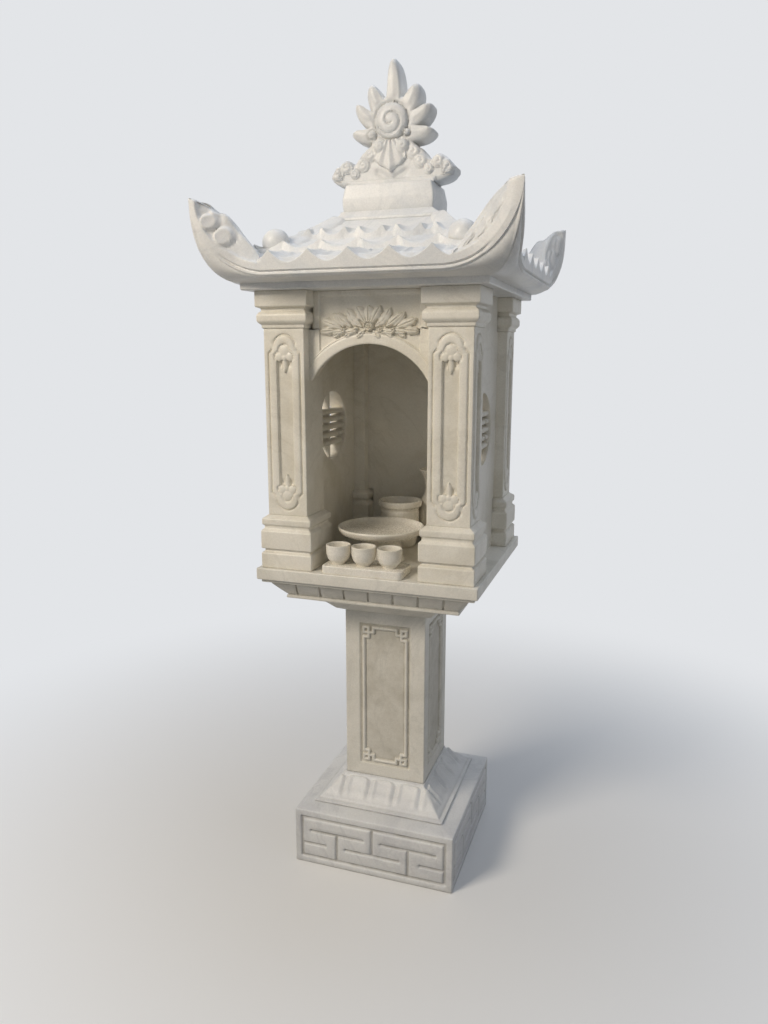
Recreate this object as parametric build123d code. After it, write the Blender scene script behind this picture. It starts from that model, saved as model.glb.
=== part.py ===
"""One-column wayside shrine of carved white marble, with a roofed altar niche.

Millimetres. The origin is the centre of the base's underside, +Z points up, and
the open front of the niche faces -Y. The plan is square up to the roof.
"""
from build123d import *
from math import atan2, degrees, sqrt
import os

# Pedestal, from the ground up
BASE_SIDE = 376
BASE_HEIGHT = 133
BASE_WEATHERING = 6          # rise of the sloped ledge from the edge to the lotus foot
PANEL_DEPTH = 4              # how far the sunk panels lie behind the faces
BASE_PANEL_MARGIN_X = 18
BASE_PANEL_MARGIN_Z = 18
FRET_GROOVE = 7              # width of the key fret's grooves
FRET_ARM = 0.37              # half length of a fret's arms, as a share of the panel's half width
FRET_SPUR = 0.33             # length of the two end spurs, the same way
LOTUS_SIDE = 308
LOTUS_HEIGHT = 57
LOTUS_BAND = 7
LOTUS_PETALS = 5             # on each side
LOTUS_VALLEY = 5             # width of the valleys between the petals
LOTUS_VALLEY_DEPTH = 3.5
LOTUS_MARGIN = 23            # from the course's corner to the outermost valley, at its foot
SHAFT_SIDE = 189
SHAFT_HEIGHT = 401
SHAFT_PANEL_MARGIN_X = 34
SHAFT_PANEL_MARGIN_Z = 28
SHAFT_FILLET = 9             # width of the raised fillet inside the sunk panel
KNOT_SIDE = 24               # outer side of the square ring at each of the fillet's corners
KNOT_BAR = 6
CORBEL_HEIGHT = 97
CORBEL_BLOCKS = 8            # blocks along each side
CORBEL_JOINT = 5
CORBEL_JOINT_DEPTH = 4
SLAB_SIDE = 480
SLAB_HEIGHT = 25
SLAB_CHAMFER = 1.5

# Niche: four columns, three walls and the arched lintel
COLUMN_CENTRE = 173
COLUMN_BASE_SIDE = 116
COLUMN_BASE_HEIGHT = 114
COLUMN_SIDE = 89
COLUMN_HEIGHT = 382
CARTOUCHE_SIZE = (66, 284)   # width, and height between its shoulders
CARTOUCHE_BAND = 17          # width of the flat band round its field
CARTOUCHE_LOBE = 23.5        # radius of the round lobe beyond each shoulder
CARTOUCHE_LOBE_RISE = 12.5   # the lobe's centre beyond the shoulder
CARTOUCHE_DEPTH = 5
CARTOUCHE_GROOVE = 3         # width and depth of the groove about it
CAPITAL_SIDE = 114
CAPITAL_HEIGHT = 74
WALL_SETBACK = 22            # the walls' outer faces lie this far inside the columns'
WALL_THICKNESS = 40
WINDOW_RADIUS = 78
WINDOW_RISE = 286            # window centre above the slab
GRILLE_BARS = 5              # level bars; each second one is cut into a short one and two stubs
GRILLE_BAR = 12.5            # height of a bar
GRILLE_DEPTH = 30
GRILLE_PITCH = 17.8
GRILLE_DROP = 5              # the bars' middle below the window's
GRILLE_SHORT = 78            # length of the short bars
GRILLE_GAP = 12              # between a short bar and its stubs
GRILLE_STEM = (10, 18)       # width and depth of the upright stem
LINTEL_SETBACK = 28          # the lintel's face lies this far behind the columns'
LINTEL_THICKNESS = 30
LINTEL_STRIP = 13            # width of the raised strip beside each column
ARCH_SPRING = 393            # arch springing above the slab
ARCH_RISE = 73
ARCH_FOOT = 6                # flat seat of the arch beside each column
ARCH_BAND = 25
ARCH_BAND_RELIEF = 5

# Roof
ROOF_LIP_SIDE = 499
ROOF_LIP_HEIGHT = 13
ROOF_REACH = 316             # from the centre line to a horn's tip
FASCIA_SETBACK = 16          # from a horn's tip back to the fascia's face
ROOF_TIP_RISE = 163          # horn tip above the roof's underside
FASCIA_FOOT_RISE = 24        # lower edge of the fascia above the underside
FASCIA_HEIGHT = 44           # up to the cusps of its waves
FASCIA_THICKNESS = 12
CURL_RUN = 146               # from the end of the fascia's level lower edge out to the tip
HORN_RUN = 121               # from a horn's root out to its tip
HORN_BOW = 12                # how far a horn's back is bowed above its chord
WAVES = 4                    # whole waves of the fascia's top between the horns
WAVE_PITCH = 79
WAVE_RISE = 21
WAVE_SHIFT = -3              # the carver's waves stand a little to one side
HIP_KNEE_RISE = 86
HIP_RIB_RADIUS = 24
HIP_RIB_SINK = 17            # a rib's axis below the hip's edge
TILE_RADIUS = 28
TILE_LIP = 9                 # how far a tile's lower edge stands proud
TILE_ROWS = ((0.36, -131, 4), (0.64, -91, 3))  # share of the slope's run, first place, count
CAP_HALF = (120, 78)
CAP_RISE = 148
CAP_HEIGHT = 20
BALL_RADIUS = 28
BALL_SINK = 15
TOP_SHIFT = -8               # the ridge block and finial were set a little to one side
RIDGE_FOOT = (97.5, 56)
RIDGE_TOP = (93, 39)
RIDGE_HEIGHT = 55
RIDGE_BULGE = 2

# Finial
FINIAL_THICKNESS = 62
FINIAL_HEIGHT = 248
FINIAL_HALF_WIDTH = 140
DISC_RISE = 121
DISC_RADIUS = 36
DISC_RELIEF = 8
DISC_ROUNDING = 3
HALO_RADIUS = 52             # solid ground behind the flames' roots
FLAME_ROOT_RADIUS = 44
FLAMES = ((34, 88, 30, -6), (66, 89, 30, -8), (101, 92, 32, -12))  # lean, reach, width, tip's curl
MAIN_FLAME = (30, 4)         # width and tip's curl
CURLS = ((18, 24, 18), (39, 37, 18), (62, 24, 13), (79, 46, 19), (96, 66, 20))  # inset, rise, radius
CURL_RELIEF = 3
SHIELD_RISE = (28, 58, 80)   # tip, widest place and top of the raised shield
SHIELD_WIDTH = (6, 66, 52)
SHIELD_RELIEF = 5
KNOB = (24, 76, 12)          # place, rise and radius of the knobs beside the shield's top

# Altar ware
TRAY_SIZE = (175, 76, 17)
TRAY_SHIFT = -5
TRAY_CORNER = 10
TRAY_EDGE_GAP = 4            # from the slab's front edge
CUP_RADIUS = 26
CUP_HEIGHT = 41
CUP_WALL = 3
CUP_PITCH = 56.5
CUP_SHIFT = (-3, -7)         # the middle cup from the tray's centre
DISH_CENTRE = (-10, -89)
DISH_RADIUS = 95
DISH_HEIGHT = 78
DISH_FOOT_RADIUS = 52
DISH_STEM_HEIGHT = 50
DISH_WALL = 6
BOWL_CENTRE = (-12, 54)
BOWL_RADIUS = 51
BOWL_HEIGHT = 110
BOWL_WALL = 6
VASE_CENTRE = (54, 112)
VASE_HEIGHT = 178
VASE_BELLY_RADIUS = 40
VASE_NECK_RADIUS = 20
VASE_RIM_RADIUS = 36
VASE_WALL = 4

# Heights that follow from the courses
LOTUS_Z = BASE_HEIGHT + BASE_WEATHERING
SHAFT_Z = LOTUS_Z + LOTUS_HEIGHT
CORBEL_Z = SHAFT_Z + SHAFT_HEIGHT
SLAB_Z = CORBEL_Z + CORBEL_HEIGHT
FLOOR_Z = SLAB_Z + SLAB_HEIGHT
COLUMN_Z = FLOOR_Z + COLUMN_BASE_HEIGHT
CAPITAL_Z = COLUMN_Z + COLUMN_HEIGHT
ROOF_Z = CAPITAL_Z + CAPITAL_HEIGHT
EAVE_Z = ROOF_Z + FASCIA_FOOT_RISE + FASCIA_HEIGHT
SLOPE_FOOT_Z = EAVE_Z - WAVE_RISE + 1
KNEE_Z = ROOF_Z + HIP_KNEE_RISE
CAP_Z = ROOF_Z + CAP_RISE
RIDGE_Z = CAP_Z + CAP_HEIGHT
FINIAL_Z = RIDGE_Z + RIDGE_HEIGHT
COLUMN_FACE = COLUMN_CENTRE + COLUMN_SIDE / 2
WALL_FACE = COLUMN_FACE - WALL_SETBACK
LINTEL_FACE = COLUMN_FACE - LINTEL_SETBACK
ROOF_FACE = ROOF_REACH - FASCIA_SETBACK
EAVE_STRAIGHT = ROOF_REACH - CURL_RUN
HORN_START = ROOF_REACH - HORN_RUN
SLOPE_EDGE = ROOF_FACE - FASCIA_THICKNESS
HIP_KNEE = (HORN_START - 3, HORN_START - 11)
BALL_PLACE = HORN_START - 4
BEYOND = 2 * ROOF_REACH      # a length past every face, for cutting tools


def mirrored_face(*right_edges):
    """Face whose right half is bounded by the given edges, from bottom to top."""
    right = Curve() + list(right_edges)
    left = mirror(right, Plane.YZ)
    first = right_edges[0] @ 0
    last = right_edges[-1] @ 1
    floor = Line((-first.X, first.Y), (first.X, first.Y))
    ceiling = Line((-last.X, last.Y), (last.X, last.Y))
    return make_face((right + left + floor + ceiling).edges())


def prism_along_y(face, half_length):
    """The face, drawn with its height upwards, carried both ways along Y."""
    return extrude(Plane.XZ * face, half_length, both=True)


def square_turned(*right_edges):
    """Course that is square in plan at every height, its corners mitred."""
    prism = prism_along_y(mirrored_face(*right_edges), BEYOND)
    return prism & (Rot(0, 0, 90) * prism)


def moulding(points):
    """Square course from (half width, height) points with straight runs."""
    return square_turned(*[Line(a, b) for a, b in zip(points, points[1:])])


def upright(x0, x1, y0, y1, z0, z1):
    """Plain block between two opposite corners."""
    centre = Pos((x0 + x1) / 2, (y0 + y1) / 2, (z0 + z1) / 2)
    return centre * Box(x1 - x0, y1 - y0, z1 - z0)


def quarter_turns(solid):
    """The solid and its three copies turned about the centre line."""
    return [Rot(0, 0, 90 * k) * solid for k in range(4)]


def groove(start, end):
    """Flat strip of the fret's groove width between two points on a level or upright line."""
    width = abs(end[0] - start[0]) + FRET_GROOVE
    height = abs(end[1] - start[1]) + FRET_GROOVE
    return Pos((start[0] + end[0]) / 2, (start[1] + end[1]) / 2) * Rectangle(width, height)


def key_fret(half, rise):
    """Frame with T shapes inside, upright and upside down by turns, and a spur at each end."""
    level = rise / 3
    arm = FRET_ARM * half
    fret = Rectangle(2 * half + FRET_GROOVE, 2 * rise + FRET_GROOVE)
    fret -= Rectangle(2 * half - FRET_GROOVE, 2 * rise - FRET_GROOVE)
    for stem, up in ((-half / 2, 1), (0, -1), (half / 2, 1)):
        fret += groove((stem - arm, up * level), (stem + arm, up * level))
        fret += groove((stem, up * level), (stem, -up * rise))
    for side in (-half, half):
        fret += groove((side, -level), (side * (1 - FRET_SPUR), -level))
    return fret


def base_block():
    """Square block whose sides carry a key fret of shallow grooves."""
    half = BASE_SIDE / 2
    block = moulding([(half, 0), (half, BASE_HEIGHT), (LOTUS_SIDE / 2, LOTUS_Z)])
    fret = key_fret(half - BASE_PANEL_MARGIN_X, BASE_HEIGHT / 2 - BASE_PANEL_MARGIN_Z)
    cutter = Pos(0, -half, BASE_HEIGHT / 2) * prism_along_y(fret, PANEL_DEPTH)
    return block - quarter_turns(cutter)


def leaning_cut(shell, foot, head, width):
    """Part of a sloping shell within a thin plate that leans from foot to head, as (x, z)."""
    run = (head[0] - foot[0], head[1] - foot[1])
    lean = Rot(0, degrees(atan2(run[0], run[1])), 0)
    plate = Box(width, 2 * BEYOND, sqrt(run[0] ** 2 + run[1] ** 2))
    return shell & (Pos((foot[0] + head[0]) / 2, 0, (foot[1] + head[1]) / 2) * lean * plate)


def lotus_course(inset):
    """The foot's hollow slope, pulled in by an inset above its plain band."""
    foot = LOTUS_SIDE / 2 - inset
    neck = SHAFT_SIDE / 2 + 3 - inset
    top = LOTUS_HEIGHT
    band_edge = (foot - 2, LOTUS_BAND)
    slope = Spline(band_edge, ((foot + neck) / 2 - 5, top * 0.52), (neck, top - 4))
    return square_turned(Line((foot, 0), band_edge), slope, Line((neck, top - 4), (neck, top)))


def lotus_foot():
    """Hollow sloped course cut into broad petals."""
    foot_z, head_z = LOTUS_BAND + 4, LOTUS_HEIGHT - 6
    foot_half = LOTUS_SIDE / 2 - LOTUS_MARGIN
    head_half = SHAFT_SIDE / 2 + 3
    shell = lotus_course(0) - lotus_course(LOTUS_VALLEY_DEPTH)
    valleys = []
    for k in range(LOTUS_PETALS + 1):
        share = 2 * k / LOTUS_PETALS - 1
        valley = leaning_cut(
            shell, (share * foot_half, foot_z), (share * head_half, head_z), LOTUS_VALLEY)
        valleys += [valley, Rot(0, 0, 90) * valley]
    return Pos(0, 0, LOTUS_Z) * (lotus_course(0) - valleys)


def corner_knots(ring_width, ring_height):
    """Square rings set on the corners of a fillet of the given outer size."""
    knot = Box(KNOT_SIDE, 2 * PANEL_DEPTH, KNOT_SIDE)
    knot -= Box(KNOT_SIDE - 2 * KNOT_BAR, 3 * PANEL_DEPTH, KNOT_SIDE - 2 * KNOT_BAR)
    across = (ring_width - KNOT_SIDE) / 2
    up = (ring_height - KNOT_SIDE) / 2
    return [Pos(x, 0, z) * knot for x in (-across, across) for z in (-up, up)]


def shaft_panel():
    """Sunk panel of one shaft face, less the raised fillet and its corner knots."""
    half = SHAFT_SIDE / 2
    wide = SHAFT_SIDE - 2 * SHAFT_PANEL_MARGIN_X
    tall = SHAFT_HEIGHT - 2 * SHAFT_PANEL_MARGIN_Z
    outer = Box(wide, 2 * PANEL_DEPTH, tall)
    ring = Box(wide - 16, 2 * PANEL_DEPTH, tall - 16)
    ring -= Box(wide - 16 - 2 * SHAFT_FILLET, 3 * PANEL_DEPTH, tall - 16 - 2 * SHAFT_FILLET)
    sunk = outer - ring - corner_knots(wide - 16, tall - 16)
    return Pos(0, -half, SHAFT_Z + SHAFT_HEIGHT / 2) * sunk


def pedestal_shaft():
    shaft = Pos(0, 0, SHAFT_Z + SHAFT_HEIGHT / 2) * Box(SHAFT_SIDE, SHAFT_SIDE, SHAFT_HEIGHT)
    return shaft - quarter_turns(shaft_panel())


def table_corbel():
    """Stepped and sloped course that widens from the shaft to the altar slab, with block joints."""
    neck = SHAFT_SIDE / 2 + 2
    brim = SLAB_SIDE / 2 - 8
    block_foot = brim - 43
    height = CORBEL_HEIGHT
    course = moulding([
        (neck, 0), (neck + 15, 7), (neck + 32, 24), (block_foot - 3, 49),
        (block_foot - 3, 53), (block_foot, 53), (brim, height - 8),
        (brim, height - 5), (brim - 4, height - 5), (brim - 4, height)])
    foot, head = (block_foot, 53), (brim, height - 8)
    shell = moulding([foot, head])
    shell -= moulding([(x - CORBEL_JOINT_DEPTH, z) for x, z in (foot, head)])
    joints = []
    for k in range(1, CORBEL_BLOCKS):
        share = 2 * k / CORBEL_BLOCKS - 1
        ends = [(share * x, z) for x, z in (foot, head)]
        joint = leaning_cut(shell, *ends, CORBEL_JOINT)
        joints += [joint, Rot(0, 0, 90) * joint]
    return Pos(0, 0, CORBEL_Z) * (course - joints)


def table_slab():
    slab = Pos(0, 0, SLAB_Z + SLAB_HEIGHT / 2) * Box(SLAB_SIDE, SLAB_SIDE, SLAB_HEIGHT)
    return chamfer(slab.edges().group_by(Axis.Z)[-1], SLAB_CHAMFER)


def column_base():
    half = COLUMN_BASE_SIDE / 2
    shaft = COLUMN_SIDE / 2
    height = COLUMN_BASE_HEIGHT
    return Pos(0, 0, FLOOR_Z) * moulding([
        (half, 0), (half, 31), (half - 4, 37), (half - 4, 40), (half, 40), (half, 79),
        (half - 5, 85), (half - 5, 92), (half - 2, 95), (half - 2, 106), (shaft + 1, height)])


def cartouche(grow):
    """Long panel with a round lobe at each end, grown all round by a margin."""
    width, height = CARTOUCHE_SIZE
    shape = Rectangle(width + 2 * grow, height + 2 * grow)
    for side in (-1, 1):
        lobe = Circle(CARTOUCHE_LOBE + grow)
        shape += Pos(0, side * (height / 2 + CARTOUCHE_LOBE_RISE)) * lobe
    return shape


def column_shaft():
    """Square shaft with a cartouche on its two outward faces, drawn for the front left corner."""
    shaft = Box(COLUMN_SIDE, COLUMN_SIDE, COLUMN_HEIGHT)
    ring = prism_along_y(cartouche(CARTOUCHE_GROOVE) - cartouche(0), CARTOUCHE_GROOVE)
    field = Rectangle(
        CARTOUCHE_SIZE[0] - 2 * CARTOUCHE_BAND, CARTOUCHE_SIZE[1] - CARTOUCHE_BAND)
    cuts = [Pos(0, -COLUMN_SIDE / 2, 0) * ring,
            Pos(0, -COLUMN_SIDE / 2, 0) * prism_along_y(field, CARTOUCHE_DEPTH)]
    shaft -= cuts + [Rot(0, 0, -90) * cut for cut in cuts]
    return Pos(0, 0, COLUMN_Z + COLUMN_HEIGHT / 2) * shaft


def column_capital():
    half = CAPITAL_SIDE / 2
    shaft = COLUMN_SIDE / 2
    height = CAPITAL_HEIGHT
    lower = Line((shaft, 0), (shaft + 5, 3))
    fillet = Line((shaft + 5, 3), (shaft + 5, 10))
    band = ThreePointArc((shaft + 5, 10), (half - 1, 20), (half - 6, 31))
    recess = Line((half - 6, 31), (half - 6, 39))
    shelf = Line((half - 6, 39), (half, 41))
    top_band = Line((half, 41), (half, height))
    return Pos(0, 0, CAPITAL_Z) * square_turned(lower, fillet, band, recess, shelf, top_band)


def wall_blank(thickness):
    """Panel on the YZ plane, let in between two columns and their mouldings."""
    beside_base = COLUMN_CENTRE - COLUMN_BASE_SIDE / 2
    beside_shaft = COLUMN_CENTRE - COLUMN_SIDE / 2
    beside_capital = COLUMN_CENTRE - CAPITAL_SIDE / 2
    points = [
        (beside_base, FLOOR_Z), (beside_base, COLUMN_Z), (beside_shaft, COLUMN_Z),
        (beside_shaft, CAPITAL_Z), (beside_capital, CAPITAL_Z), (beside_capital, ROOF_Z)]
    face = mirrored_face(*[Line(a, b) for a, b in zip(points, points[1:])])
    return extrude(Plane.XZ * face, thickness)


def grille_bar(cut):
    """Level bar with round edges, whole or cut into a short bar and two stubs."""
    bar = extrude(Plane.YZ * SlotOverall(GRILLE_DEPTH, GRILLE_BAR), WINDOW_RADIUS, both=True)
    if cut:
        gap = Box(GRILLE_GAP, 2 * GRILLE_DEPTH, 2 * GRILLE_BAR)
        place = (GRILLE_SHORT + GRILLE_GAP) / 2
        bar -= [Pos(-place, 0, 0) * gap, Pos(place, 0, 0) * gap]
    return bar


def grille():
    """Level bars on an upright stem across the window, drawn in the front plane."""
    width, depth = GRILLE_STEM
    solid = Box(width, depth, 2 * WINDOW_RADIUS)
    for k in range(GRILLE_BARS):
        rise = (k - (GRILLE_BARS - 1) / 2) * GRILLE_PITCH - GRILLE_DROP
        solid += Pos(0, 0, rise) * grille_bar(cut=k % 2)
    return Pos(0, -WALL_THICKNESS / 2, 0) * solid


def side_wall():
    """Pierced wall in the front plane, its outer face on Y = 0 and its body behind."""
    wall = Pos(0, WALL_THICKNESS, 0) * wall_blank(WALL_THICKNESS)
    centre = Pos(0, WALL_THICKNESS / 2, FLOOR_Z + WINDOW_RISE)
    plug = centre * Rot(90, 0, 0) * Cylinder(WINDOW_RADIUS, WALL_THICKNESS)
    bars = Pos(0, WALL_THICKNESS, FLOOR_Z + WINDOW_RISE) * grille()
    return wall - plug + (plug & bars)


def back_wall():
    return Pos(0, WALL_FACE, 0) * wall_blank(WALL_THICKNESS)


def arch_circle():
    """Radius of the arch and the height of its centre, from its span and rise."""
    half_span = COLUMN_CENTRE - COLUMN_SIDE / 2 - ARCH_FOOT
    radius = (half_span ** 2 + ARCH_RISE ** 2) / (2 * ARCH_RISE)
    return radius, FLOOR_Z + ARCH_SPRING + ARCH_RISE - radius


def arch_lintel():
    """Panel between the front columns, with its arch, raised arch band and side strips."""
    radius, centre_z = arch_circle()
    panel = Pos(0, LINTEL_THICKNESS - LINTEL_FACE, 0) * wall_blank(LINTEL_THICKNESS)
    disc_depth = 4 * LINTEL_THICKNESS
    centre = Pos(0, -LINTEL_FACE, centre_z) * Rot(90, 0, 0)
    band = centre * (Cylinder(radius + ARCH_BAND, 2 * ARCH_BAND_RELIEF) - Cylinder(radius, disc_depth))
    panel += band & upright(
        COLUMN_SIDE / 2 - COLUMN_CENTRE, COLUMN_CENTRE - COLUMN_SIDE / 2,
        -BEYOND, BEYOND, FLOOR_Z + ARCH_SPRING, CAPITAL_Z)
    beside_shaft = COLUMN_CENTRE - COLUMN_SIDE / 2
    for side in (-1, 1):
        inner, outer = sorted((side * (beside_shaft - LINTEL_STRIP), side * beside_shaft))
        panel += upright(
            inner, outer, -LINTEL_FACE - ARCH_BAND_RELIEF, -LINTEL_FACE,
            FLOOR_Z + ARCH_SPRING, CAPITAL_Z)
    below = upright(-BEYOND, BEYOND, -BEYOND, 0, 0, FLOOR_Z + ARCH_SPRING)
    return panel - centre * Cylinder(radius, disc_depth) - below


def roof_outline(top):
    """Front view of the eaves: level in the middle, with a horn at each end."""
    tip = (ROOF_REACH, ROOF_Z + ROOF_TIP_RISE)
    root = (HORN_START, EAVE_Z)
    run = (tip[0] - root[0], tip[1] - root[1])
    length = sqrt(run[0] ** 2 + run[1] ** 2)
    bow = ((root[0] + tip[0]) / 2 - HORN_BOW * run[1] / length,
           (root[1] + tip[1]) / 2 + HORN_BOW * run[0] / length)
    back = ThreePointArc(tip, bow, root)
    if top:
        return [Line((ROOF_REACH, ROOF_Z - 1), tip), back]
    foot_z = ROOF_Z + FASCIA_FOOT_RISE
    curl = EllipticalCenterArc(
        (EAVE_STRAIGHT, tip[1]), ROOF_REACH - EAVE_STRAIGHT, tip[1] - foot_z,
        start_angle=270, arc_size=90)
    return [curl, back]


def wave_scoops():
    """Round hollows cut down into the fascia's top edge, as prisms along Y."""
    pitches = [WAVE_SHIFT + (k - WAVES / 2) * WAVE_PITCH for k in range(WAVES + 1)]
    spans = list(zip([-HORN_START] + pitches, pitches + [HORN_START]))
    scoops = []
    for start, end in spans:
        half = (end - start) / 2
        depth = WAVE_RISE * 2 * half / WAVE_PITCH
        radius = (half ** 2 + depth ** 2) / (2 * depth)
        place = Pos((start + end) / 2, 0, EAVE_Z - depth + radius)
        scoops.append(place * Rot(90, 0, 0) * Cylinder(radius, 2 * BEYOND))
    return scoops


def eaves():
    """Bell-shaped underside and proud fascia, cut to the horned and waved outline both ways."""
    lip = ROOF_LIP_SIDE / 2
    lip_top = ROOF_Z + ROOF_LIP_HEIGHT
    tip_z = ROOF_Z + ROOF_TIP_RISE
    bell = square_turned(
        Line((lip, ROOF_Z), (lip, lip_top)),
        EllipticalCenterArc((lip, tip_z), ROOF_REACH - lip, tip_z - lip_top,
                            start_angle=270, arc_size=90))
    fascia = prism_along_y(mirrored_face(*roof_outline(top=False)), ROOF_FACE)
    outline = prism_along_y(mirrored_face(*roof_outline(top=True)), BEYOND)
    solid = (bell + fascia + Rot(0, 0, 90) * fascia) & outline & (Rot(0, 0, 90) * outline)
    scoops = wave_scoops()
    return solid - scoops - [Rot(0, 0, 90) * scoop for scoop in scoops]


def rectangle_at(half, z):
    return Pos(0, 0, z) * Rectangle(2 * half[0], 2 * half[1])


def hipped_slopes():
    """Hipped roof with a knee, from the eaves up to the cap."""
    eave = (SLOPE_EDGE, SLOPE_EDGE)
    lower = loft([rectangle_at(eave, SLOPE_FOOT_Z), rectangle_at(HIP_KNEE, KNEE_Z)])
    upper = loft([rectangle_at(HIP_KNEE, KNEE_Z), rectangle_at(CAP_HALF, CAP_Z)])
    return lower + upper


def slope_height(out, knee, cap):
    """Height of a slope's surface at a distance out from the middle."""
    if out > knee:
        return KNEE_Z - (out - knee) / (SLOPE_EDGE - knee) * (KNEE_Z - SLOPE_FOOT_Z)
    return CAP_Z - (out - cap) / (knee - cap) * (CAP_Z - KNEE_Z)


def tile_lips(knee, cap):
    """Round tiles of the front slope, proud at their lower edge and flush at the upper one."""
    tiles = []
    for share, first, count in TILE_ROWS:
        low = ROOF_FACE - share * (ROOF_FACE - cap)
        high = low - 2 * TILE_RADIUS
        low_z = slope_height(low, knee, cap) + TILE_LIP
        high_z = slope_height(high, knee, cap)
        tilt = degrees(atan2(high_z - low_z, low - high))
        disc = Pos(0, 0, -TILE_LIP) * Cylinder(TILE_RADIUS, 2 * TILE_LIP)
        for k in range(count):
            place = Pos(first + k * WAVE_PITCH, -(low + high) / 2, (low_z + high_z) / 2)
            tiles.append(place * Rot(tilt, 0, 0) * disc)
    return tiles


def hip_ribs():
    """Round ribs on the four hips, from the knee's corners up to the cap."""
    foot = Vector(HIP_KNEE[0], -HIP_KNEE[1], KNEE_Z - HIP_RIB_SINK)
    head = Vector(CAP_HALF[0], -CAP_HALF[1], CAP_Z - HIP_RIB_SINK)
    run = head - foot
    past = HIP_RIB_RADIUS / 2
    middle = (foot + head) / 2 + run.normalized() * past / 2
    rib = Plane(origin=middle, z_dir=run) * Cylinder(HIP_RIB_RADIUS, run.length + past)
    rib &= upright(-BEYOND, BEYOND, -BEYOND, BEYOND, 0, CAP_Z)
    pair = [rib, mirror(rib, Plane.XZ)]
    return pair + [Rot(0, 0, 180) * one for one in pair]


def roof_body():
    """Eaves, horns, hipped slopes, tiles and hip ribs, all one carved block."""
    front = tile_lips(HIP_KNEE[1], CAP_HALF[1])
    side = tile_lips(HIP_KNEE[0], CAP_HALF[0])
    raised = hip_ribs()
    for turn, tiles in enumerate((front, side, front, side)):
        raised += [Rot(0, 0, 90 * turn) * tile for tile in tiles]
    return eaves() + hipped_slopes() + raised


def hip_ball():
    """Round boss at the foot of a hip, flattened where it sits on the slope."""
    ball = Sphere(BALL_RADIUS)
    return Pos(0, 0, KNEE_Z + BALL_RADIUS - BALL_SINK) * ball


def roof_cap():
    top = Pos(TOP_SHIFT, 0, 0) * rectangle_at(RIDGE_FOOT, RIDGE_Z)
    return loft([rectangle_at(CAP_HALF, CAP_Z), top])


def ridge_block():
    knee = RIDGE_HEIGHT * 0.45
    bulged = (RIDGE_FOOT[0] + RIDGE_BULGE, RIDGE_FOOT[1])
    lower = loft([rectangle_at(RIDGE_FOOT, RIDGE_Z), rectangle_at(bulged, RIDGE_Z + knee)])
    upper = loft([rectangle_at(bulged, RIDGE_Z + knee), rectangle_at(RIDGE_TOP, FINIAL_Z)])
    return Pos(TOP_SHIFT, 0, 0) * (lower + upper)


def flame(lean, reach, width, curl):
    """Tongue of flame from the disc's centre, its tip curled sideways, leaned from the upright."""
    root, waist = 0.55 * width, (FLAME_ROOT_RADIUS + reach) / 2
    tip = (curl, reach)
    right = Spline((root, FLAME_ROOT_RADIUS), (0.4 * width - 0.3 * curl, waist), tip)
    left = Spline(tip, (-0.4 * width - 0.3 * curl, waist), (-root, FLAME_ROOT_RADIUS))
    foot = Line((-root, FLAME_ROOT_RADIUS), (root, FLAME_ROOT_RADIUS))
    return Pos(0, DISC_RISE) * Rot(0, 0, -lean) * make_face((right + left + foot).edges())


def curl_places():
    """Place and radius of the foot's curls on both sides, from the ends inwards."""
    for inset, rise, radius in CURLS:
        for side in (-1, 1):
            yield side * (FINIAL_HALF_WIDTH - inset), rise, radius


def finial_foot():
    """Front view of the foot: its curls, with the stone between and under them."""
    half = RIDGE_TOP[0] - 3
    places = [(FINIAL_HALF_WIDTH - inset, rise) for inset, rise, radius in CURLS]
    end = (places[0][0], places[0][1] - 0.9 * CURLS[0][2])
    right = [(half, 0), end, places[1], places[3], places[4]]
    left = [(-x, z) for x, z in reversed(right)]
    foot = make_face(Polyline(*right, *left, close=True).edges())
    foot += Pos(0, places[4][1] + CURLS[4][2] / 2) * Rectangle(2 * places[4][0], 2 * CURLS[4][2])
    for x, rise, radius in curl_places():
        foot += Pos(x, rise) * Circle(radius)
    return foot


def boss(x, rise, radius, relief):
    """Round boss through the finial, proud of both its faces."""
    return Pos(x, 0, rise) * Rot(90, 0, 0) * Cylinder(radius, FINIAL_THICKNESS + 2 * relief)


def shield():
    """Raised leaf below the disc, proud of both faces."""
    tip, wide, top = [(width / 2, rise) for width, rise in zip(SHIELD_WIDTH, SHIELD_RISE)]
    belly = (0.45 * tip[0] + 0.55 * wide[0] + 4, (tip[1] + wide[1]) / 2 - 4)
    face = mirrored_face(ThreePointArc(tip, belly, wide), Line(wide, top))
    return prism_along_y(face, FINIAL_THICKNESS / 2 + SHIELD_RELIEF)


def finial():
    """Flaming disc over a scrolled foot, all one carved plate."""
    outline = finial_foot() + Pos(0, DISC_RISE) * Circle(HALO_RADIUS)
    outline += flame(0, FINIAL_HEIGHT - DISC_RISE, *MAIN_FLAME)
    for shape in FLAMES:
        tongue = flame(*shape)
        outline += tongue
        outline += mirror(tongue, Plane.YZ)
    outline &= Pos(0, FINIAL_HEIGHT / 2) * Rectangle(2 * FINIAL_HALF_WIDTH, FINIAL_HEIGHT)
    disc = boss(0, DISC_RISE, DISC_RADIUS, DISC_RELIEF)
    disc = chamfer(disc.edges().filter_by(GeomType.CIRCLE), DISC_ROUNDING)
    raised = [disc, shield()]
    raised += [boss(x, rise, 0.6 * radius, CURL_RELIEF) for x, rise, radius in curl_places()]
    raised += [boss(side * KNOB[0], KNOB[1], KNOB[2], SHIELD_RELIEF + 2) for side in (-1, 1)]
    return Pos(TOP_SHIFT, 0, FINIAL_Z) * (prism_along_y(outline, FINIAL_THICKNESS / 2) + raised)


def turned(points, centre, z):
    """Ware turned about its own axis from a closed (radius, height) outline."""
    outline = make_face(Polyline(*points, close=True).edges())
    return Pos(centre[0], centre[1], z) * revolve(Plane.XZ * outline, Axis.Z)


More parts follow.
